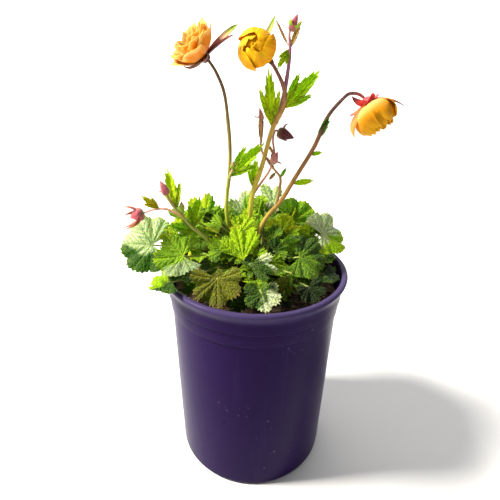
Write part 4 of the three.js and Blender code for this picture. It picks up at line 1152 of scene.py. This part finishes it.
def stamens(name, rows, base):
    """A tuft of stamens on a low dome: thin filaments spread by the golden turn, each with a grain on its
    end, an octahedron half as high again as it is wide."""
    count = 64
    k = np.arange(count)
    turn = k * GOLDEN_TURN
    ring = np.sqrt((k + 0.5) / count)
    circle = np.stack([ring * np.cos(turn), ring * np.sin(turn)], -1)
    feet = np.concatenate([1.3 * circle, np.full((count, 1), 7.0)], -1)
    heights = 10.4 - 0.9 * ring ** 2 + 0.3 * np.sin(5 * turn)
    tips = np.concatenate([3.9 * circle, heights[:, None]], -1)
    piece = Piece(CALYX)
    dome, faces = turned([[0, 5.7], [1.35, 5.7], [1.4, 7.2], [0.9, 8.1], [0, 8.4]], 20)
    piece.add(dome @ rows + base, faces, (0.5, 0.45, 0.05))
    piece.spikes(feet @ rows + base, tips @ rows + base, 0.13, (0.75, 0.5, 0.05))
    grain = np.array([[1, 0, 0], [0, 1, 0], [-1, 0, 0], [0, -1, 0], [0, 0, 1.5], [0, 0, -1.5]]) * 0.34
    points = (tips[:, None] + grain).reshape(-1, 3)
    upper = np.array([[0, 1, 4], [1, 2, 4], [2, 3, 4], [3, 0, 4]])
    lower = np.array([[1, 0, 5], [2, 1, 5], [3, 2, 5], [0, 3, 5]])
    faces = (6 * k[:, None, None] + np.concatenate([upper, lower])).reshape(-1, 3)
    piece.add(points @ rows + base, [faces], (0.8, 0.5, 0.04))
    piece.make(f"{name}_bloom_stamens", [f"stamens_{name}"])


# A bud has its base, its axis, its length and radius, the tints at foot and tip of its body and then of its
# open sepals, and those sepals, in the same numbers as a bloom's.
BUDS = {
    "top": {
        "base": (18.7, 2, 187.6), "axis": (0.38, 0, 0.92), "length": 10, "radius": 2.8,
        "tints": (PLUM, PLUM, LIME, LIME),
        "sepals": ((160, 4.6, 4.4, 8.5), (40, 4, 3.6, 7), (-90, 4, 3.6, 6)),
    },
    "hooked": {
        "base": (13.8, 8, 123.2), "axis": (0.93, -0.1, -0.32), "length": 12.5, "radius": 4.3,
        "tints": (MAROON,) * 4, "sepals": ((0, 5, 7.5, 5), (120, 4.4, 5.5, 9), (-120, 4.4, 5.5, 9)),
    },
    "slender": {
        "base": (2, 6, 131.5), "axis": (-0.25, 0, 0.97), "length": 8.5, "radius": 1.9,
        "tints": (ROSE, PLUM, ROSE, PLUM), "sepals": ((200, 2.2, 4.5, 5),),
    },
    "side": {
        "base": (10.4, -2, 102.2), "axis": (0.38, 0, 0.92), "length": 9, "radius": 2.9,
        "tints": (ROSE, PLUM, PLUM, ROSE), "sepals": ((-60, 3, 5, 8), (60, 3, 6, 5), (180, 3, 6, 3)),
    },
    "left_upper": {
        "base": (-64.2, -21, 82.6), "axis": (-0.38, 0, 0.92), "length": 10.5, "radius": 3,
        "tints": (PLUM, ROSE, LIME, ROSE), "sepals": ((150, 3, 5.5, 4),),
    },
    "left_open": {
        "base": (-83.4, -18, 66.9), "axis": (-0.93, -0.2, -0.3), "length": 10, "radius": 5,
        "tints": (PLUM, CRIMSON, PLUM, AMBER),
        "sepals": ((0, 5.4, 9, 12), (180, 5, 6, 20), (145, 5, 12, 19), (-120, 5, 9, 10), (80, 5, 7, 15)),
    },
    "left_small": {
        "base": (-54.2, -19.5, 70.6), "axis": (0, -0.15, 1), "length": 7, "radius": 2.1,
        "tints": (LIME, ROSE, LIME, ROSE), "sepals": (),
    },
    "axil": {
        "base": (-18.6, -3.6, 98.5), "axis": (0.1, -0.3, 0.95), "length": 5.5, "radius": 1.9,
        "tints": (LIME, ROSE, LIME, ROSE), "sepals": (),
    },
}


def bud(name, spec):
    """A bud: a body whose radius follows the bud's outline, swelled into five valves that twist a little
    round it, with seams between them, its open sepals, and its down."""
    rows, base = axis_frame(spec["base"], spec["axis"])
    length, radius = spec["length"], spec["radius"]
    heights = np.linspace(0, 1, 20)
    outline = np.interp(heights, [0, 0.08, 0.34, 0.7, 1], [0.55, 0.86, 1, 0.62, 0.1])
    profile = np.stack([outline * radius, -0.3 + heights * (length + 0.3)], -1)
    points, faces = turned(np.concatenate([[[0, -0.5]], profile, [[0, length + 0.1]]]), 40)
    turn = np.arctan2(points[:, 1], points[:, 0])
    share = np.clip(points[:, 2] / length, 0, 1)
    valves = np.abs(np.sin(2.5 * turn + 0.7 * share))
    points[:, :2] *= (0.93 + 0.11 * valves ** 0.6)[:, None]
    first, second, sepal_foot, sepal_tip = spec["tints"]
    seams = ease((0.35 - valves) / 0.35)
    tint = blend(blend(first, second, ease((share - 0.25) / 0.7) * 0.7), MAROON, seams * 0.6)
    green = np.clip(1 - share * 4, 0, 1) * 0.5
    piece = Piece(CALYX)
    piece.add(points @ rows + base, faces, blend(tint, (0.2, 0.2, 0.04), green))
    draws = np.random.default_rng(BUD_SEED + len(name))
    for sepal in spec["sepals"]:
        grid, along = sepal_grid(*sepal)
        colour = blend(sepal_foot, sepal_tip, ease(along))
        piece.sheet(grid @ rows + base, SEPAL_SKIN, colour)
        hairs(piece, draws, grid[:, 3] @ rows + base, 0.3, 22, 0.7, SEPAL_DOWN)
    path = np.array([[0, 0, 0.5], [0, 0, length * 0.5], [0, 0, length * 0.85]]) @ rows + base
    hairs(piece, draws, path, radius * np.array([0.9, 0.9, 0.4]), 90, 0.8, BUD_DOWN)
    piece.make(f"{name}_bud_scales", [f"bud_{name}"])


# Leafy stems: the foot on the crown, the radii at foot and end, the route above the crown, the bloom or bud
# that each one ends in, its side branches, its leaves, and its tints from foot to end.

def leaf_on_stem(start, tip, spread=60, lobes=3, bend=0.1, tints=("fresh", "sunlit")):
    """A stem leaf from where it starts to its tip: the angle that its lobes fill, how many they are, how
    far it sags on the way, and its tints."""
    return {"from": start, "to": tip, "spread": spread, "lobes": lobes, "bend": bend, "tints": tints}


# Tints of stalks.
GREEN_STALK, TAN, PINK = (0.42, 0.5, 0.03), (0.42, 0.24, 0.05), (0.55, 0.27, 0.2)
PURPLE, PLUM_STALK = (0.16, 0.06, 0.08), (0.26, 0.1, 0.15)

STEMS = {
    "left": {
        "foot": (-9.8, 0.4), "radii": (1.8, STEM_END), "into": BLOOMS["left"],
        "route": ((-18, 0.5, 32), (-23.2, 0, 60.5), (-23, 0, 77), (-21.3, 0, 92), (-20.7, 0, 110.7),
                  (-22, 0, 130), (-24.5, 0, 149), (-29.4, 0.5, 161)),
        "tints": (GREEN_STALK, GREEN_STALK, (0.28, 0.24, 0.04), (0.16, 0.09, 0.04), (0.12, 0.06, 0.035)),
        "branches": (
            {"route": ((-21.8, 0, 88), (-20.3, -2, 93.5)), "into": BUDS["axil"], "radii": (0.9, PEDICEL_END),
             "tints": (GREEN_STALK, PINK)},
        ),
        "leaves": (leaf_on_stem((-21.4, 0, 90.5), (4.6, -5, 118), 42, bend=0.05),),
    },
    "middle": {
        "foot": (0, 0), "radii": (2.2, STEM_END), "into": BLOOMS["middle"],
        "route": ((-3, 0, 30), (-5, 0, 60), (-3.3, 0, 79.6), (2.9, 0, 99.6), (9.2, 0, 125.5), (15.8, 0, 139),
                  (17.3, 0, 147), (15.3, 0.2, 155), (11.6, 2, 162), (7.5, 7.5, 168), (2, 14.6, 171.6)),
        "tints": (GREEN_STALK, (0.55, 0.58, 0.04), (0.56, 0.42, 0.05), (0.46, 0.24, 0.07), (0.28, 0.11, 0.08),
                  PURPLE, PURPLE),
        "branches": (
            {"route": ((11.4, 0, 130), (15.6, 1.5, 144), (17.2, 2, 154), (18.4, 2, 165), (19, 2, 176)),
             "into": BUDS["top"], "radii": (2, PEDICEL_END), "tints": (TAN, PLUM_STALK, PLUM_STALK, PINK)},
            {"route": ((-3.6, 0, 77), (1.4, 4, 84), (8.5, 8, 94), (12, 8, 105), (10.4, 8, 117)),
             "into": BUDS["hooked"], "radii": (1.1, PEDICEL_END), "tints": ((0.4, 0.2, 0.08), PINK, PURPLE)},
            {"route": ((4.4, 0, 106), (1.6, 3, 113), (2.2, 6, 122)), "into": BUDS["slender"],
             "radii": (0.9, PEDICEL_END), "tints": (PINK, PURPLE)},
        ),
        "leaves": (
            leaf_on_stem((17, 0, 140), (39.2, -5, 165.6), 50, tints=("yellow", "sunlit")),
            leaf_on_stem((9.4, 0, 126.5), (4.6, -5, 167.5), 34, tints=("yellow", "yellow")),
            leaf_on_stem((19, 2, 177.5), (10.6, -1, 164.5), 46, tints=("fresh", "yellow")),
            leaf_on_stem((19, 2, 177), (25.8, 10, 195), 22, 1, tints=("fresh", "rust")),
            leaf_on_stem((19, 2, 177), (8, 3, 195), 10, 1, tints=("pink", "pink")),
            leaf_on_stem((-3, 0, 81.5), (-1.5, 5, 106), 44, tints=("yellow", "sunlit")),
            leaf_on_stem((1.6, 3.5, 114.5), (0.2, 4, 137), 15, 1, tints=("rust", "pink")),
            leaf_on_stem((12, 7, 106), (6.5, 6, 115), 24, 1, tints=("pink", "rust")),
        ),
    },
    "right": {
        "foot": (1.5, -4.8), "radii": (2, STEM_END), "into": BLOOMS["right"],
        "route": ((-1.5, -7, 26), (0.6, -7.5, 45), (7.2, -5, 60.4), (18, -4, 74.5), (27, -4, 91.5),
                  (37.6, -4, 111.2), (41.8, -4, 121.2), (44.9, -4, 130.9), (47.6, -4, 136.9),
                  (51.1, -4, 141.9), (55.4, -4, 146.9), (59.4, -3, 150.4), (63.6, -1.5, 151), (68, 0.8, 150)),
        "tints": (GREEN_STALK, (0.42, 0.42, 0.04), (0.38, 0.24, 0.04), (0.3, 0.14, 0.04), (0.14, 0.06, 0.03),
                  (0.08, 0.035, 0.025), (0.08, 0.03, 0.03), (0.34, 0.14, 0.14), (0.7, 0.36, 0.34)),
        "branches": (
            {"route": ((14.4, -4, 70), (16.4, -3, 82), (16.8, -2, 91.4), (12.7, -2, 97)),
             "into": BUDS["side"], "radii": (1.2, PEDICEL_END), "tints": ((0.34, 0.2, 0.08), TAN, PINK)},
        ),
        "leaves": (
            leaf_on_stem((41, -4, 119.5), (48, -7.5, 137), 32, 1, tints=("mid", "deep")),
            leaf_on_stem((36.5, -4, 109.5), (45.5, -7, 112.2), 40, 1),
            leaf_on_stem((24.6, -4, 88), (42, -8, 92), 32, 1, tints=("yellow", "yellow")),
            leaf_on_stem((16.8, -2, 91.4), (20.5, -4, 100), 34, 1, tints=("olive", "fresh")),
            leaf_on_stem((12.7, -2, 97.5), (4.6, -3, 108), 26, 1, tints=("rust", "pink")),
            leaf_on_stem((13.4, -2.5, 96), (8, -5, 90.5), 40, 1, tints=("olive", "rust")),
        ),
    },
    "low": {
        "foot": (-14.7, -4), "radii": (1.8, PEDICEL_END), "into": BUDS["left_upper"],
        "route": ((-19, -6.5, 20), (-27.5, -11, 34), (-38.7, -18, 49), (-48, -19, 57.5), (-57, -20, 69.5),
                  (-61.6, -21, 76)),
        "tints": (GREEN_STALK, (0.38, 0.44, 0.05), (0.36, 0.4, 0.06), (0.34, 0.3, 0.06), TAN),
        "branches": (
            {"route": ((-53.5, -19.6, 64.8), (-60, -19.5, 68.5), (-66.5, -19, 71), (-75, -17.5, 69.8)),
             "into": BUDS["left_open"], "radii": (1.1, PEDICEL_END), "tints": (TAN, PINK, PINK)},
            {"route": ((-48.5, -19, 58.2), (-53.4, -19.5, 65.4)), "into": BUDS["left_small"],
             "radii": (0.9, PEDICEL_END), "tints": (GREEN_STALK, TAN)},
        ),
        "leaves": (
            leaf_on_stem((-58, -20.2, 70.9), (-66.5, -7, 99), 46, tints=("fresh", "yellow")),
            leaf_on_stem((-71, -18.3, 70.6), (-84, -20, 81.5), 46, tints=("yellow", "gold")),
            leaf_on_stem((-44, -18.5, 54.2), (-66, -25, 61), 60, tints=("sunlit", "fresh")),
            leaf_on_stem((-47, -18.9, 56.7), (-42, -11, 80), 56, tints=("fresh", "sunlit")),
        ),
    },
}


def ending(spec):
    """The last two points of a stalk that ends inside a bloom or bud, along its axis."""
    along = unit(np.asarray(spec["axis"], float))
    return [np.asarray(spec["base"], float) + reach * along for reach in (-2, 2)]


def stalk(piece, draws, points, radii, tints, sides, down):
    """A stalk along the smooth line through its points, tapering from one radius to the other, in colours
    that pass through its tints at even steps, with hairs."""
    path = through(points, 6)
    share = np.linspace(0, 1, len(path))
    stops = np.linspace(0, 1, len(tints))
    colour = np.stack([np.interp(share, stops, np.asarray(tints)[:, k]) for k in range(3)], -1)
    radius = radii[0] + (radii[1] - radii[0]) * share
    radius = radius * (1 + 0.03 * np.sin(37 * share + len(path)))
    piece.tube(path, radius, sides, colour)
    hairs(piece, draws, path[3:-6], radius[3:-6], down, 1, STEM_DOWN)


def stem_blade(piece, index, spec):
    """A stem leaf or bract with its upper side to the front: one long toothed lobe, and where it has three,
    a shorter one on each side of it, each folded along its middle, sagging by its bend times d - d^2 for
    the share d of the way out, and rippled by a sine that grows with d^2."""
    start, end = np.asarray(spec["from"], float), np.asarray(spec["to"], float)
    tip = unit(end - start)
    reach = np.linalg.norm(end - start)
    side = unit(np.cross((0, -1, 0.3), tip))
    face = np.cross(tip, side)
    lobes, bend, spread = spec["lobes"], spec["bend"], spec["spread"]
    phase = PHASE_STEP * index

    def relief(d, a):
        fold = 0.35 * d * np.abs(np.sin(a))
        return bend * (d * d - d) + fold + 0.04 * d * d * np.sin(6 * d + 8 * a + phase)

    teeth = 9 if reach > 20 else 7
    parts = ((0, 1, 0.8), (0.4, 0.76, 0.6), (-0.42, 0.68, 0.6)) if lobes == 3 else ((0, 1, 1.2),)
    for turn, share, width in parts:
        swing = math.radians(turn * spread)
        ahead = tip * math.cos(swing) + side * math.sin(swing)
        length = reach * share
        grid, distance, angle, net = blade(length, spread * width, 1, 0.3, 1.25, teeth, 0.14, 0, relief)
        tints = leaf_tints(*spec["tints"], 0, distance, angle, phase + turn)
        lift = 0.3 * abs(turn) * face
        grid = placed(grid, start + lift, ahead, face)
        piece.sheet(grid, STEM_LEAF_SKIN, tints, pale_under(tints), net, fan=True)


def leafy_stem(name, spec):
    """One stem with its branches, its leaves and its down, in the place of its node."""
    draws = np.random.default_rng(STEM_SEED + len(name))
    piece = Piece(LEAF)
    x, y = spec["foot"]
    points = [(x, y, -SOCKET_DEPTH), (x, y, CROWN_TOP), *spec["route"], *ending(spec["into"])]
    stalk(piece, draws, points, spec["radii"], spec["tints"], sides=12, down=520)
    for branch in spec["branches"]:
        points = [*branch["route"], *ending(branch["into"])]
        stalk(piece, draws, points, branch["radii"], branch["tints"], sides=9, down=130)
    for index, leaf in enumerate(spec["leaves"]):
        stem_blade(piece, index, leaf)
    piece.make(f"{name}_leafy_stem", [f"stem_{name}"])


# The stage

def camera():
    """The camera at the photograph's place, looking level along +Y, then turned, tipped and rolled."""
    data = bpy.data.cameras.new("camera")
    data.sensor_width = SENSOR_WIDTH
    data.lens = FOCAL_PIXELS * SENSOR_WIDTH / FRAME_PIXELS
    eye = bpy.data.objects.new("camera", data)
    turn = Matrix.Rotation(math.radians(CAMERA_YAW), 4, "Z")
    tip = Matrix.Rotation(math.radians(90 + CAMERA_PITCH), 4, "X")
    roll = Matrix.Rotation(math.radians(CAMERA_ROLL), 4, "Z")
    eye.matrix_world = Matrix.Translation(Vector(CAMERA_PLACE) * MM) @ turn @ tip @ roll
    data.clip_start = 0.01
    bpy.context.scene.collection.objects.link(eye)
    bpy.context.scene.camera = eye


def board(name, corners, material):
    """A plain four-cornered face of the stage, with its corners in metres."""
    mesh = bpy.data.meshes.new(name)
    mesh.from_pydata(corners, [], [(0, 1, 2, 3)])
    mesh.materials.append(material)
    plain = bpy.data.objects.new(name, mesh)
    bpy.context.scene.collection.objects.link(plain)


def floor():
    """A plain pale floor, wide enough to fill every view."""
    half = 12
    paint = Shader("pale_floor", Roughness=0.9, Specular_IOR_Level=0.1)
    board("floor", [(-half, -half, 0), (half, -half, 0), (half, half, 0), (-half, half, 0)],
          paint.finish(Base_Color=(0.74, 0.74, 0.74)))


def backdrop():
    """A plain white wall behind the plant that glows softly, far off and wide enough for the views from the
    front and the sides of it."""
    half, depth, height = 8, 2.6, 6
    glow = Shader("glowing_wall", Roughness=0.9, Specular_IOR_Level=0.1, Emission_Strength=1)
    board("backdrop", [(-half, depth, 0), (half, depth, 0), (half, depth, height), (-half, depth, height)],
          glow.finish(Base_Color=(0.9, 0.9, 0.9), Emission_Color=WHITE))


def lamp(name, place, size, power, colour):
    """A soft square light at a place in metres, facing the plant."""
    data = bpy.data.lights.new(name, "AREA")
    data.size = size
    data.energy = power
    data.color = colour
    light = bpy.data.objects.new(name, data)
    light.location = place
    light.rotation_euler = (Vector((0, 0, 0.2)) - light.location).to_track_quat("-Z", "Y").to_euler()
    bpy.context.scene.collection.objects.link(light)


def studio():
    """Soft light: a large key from the left and above, and an even dim surround, beside the backdrop's
    glow."""
    lamp("key", (-2, -0.13, 2.27), 0.6, 250, (1, 0.96, 0.88))
    world = bpy.data.worlds.new("surround")
    world.use_nodes = True
    surround = world.node_tree.nodes["Background"]
    surround.inputs["Color"].default_value = (1, 1, 1, 1)
    surround.inputs["Strength"].default_value = 0.3
    bpy.context.scene.world = world
    bpy.context.scene.view_settings.view_transform = "Standard"


camera()
floor()
backdrop()
studio()
pot()
soil()
chips()
crown()
for number, (leaf_name, leaf_row) in enumerate(BASAL_LEAVES.items()):
    basal_leaf(number, leaf_name, leaf_row)
young_leaves()
for stem_name, stem_spec in STEMS.items():
    leafy_stem(stem_name, stem_spec)
for bud_name, bud_spec in BUDS.items():
    bud(bud_name, bud_spec)
for bloom_name, bloom in BLOOMS.items():
    bloom_rows, bloom_base = axis_frame(bloom["base"], bloom["axis"])
    petals(bloom_name, bloom, bloom_rows, bloom_base)
    calyx(bloom_name, bloom, bloom_rows, bloom_base)
    stamens(bloom_name, bloom_rows, bloom_base)

bpy.context.view_layer.update()
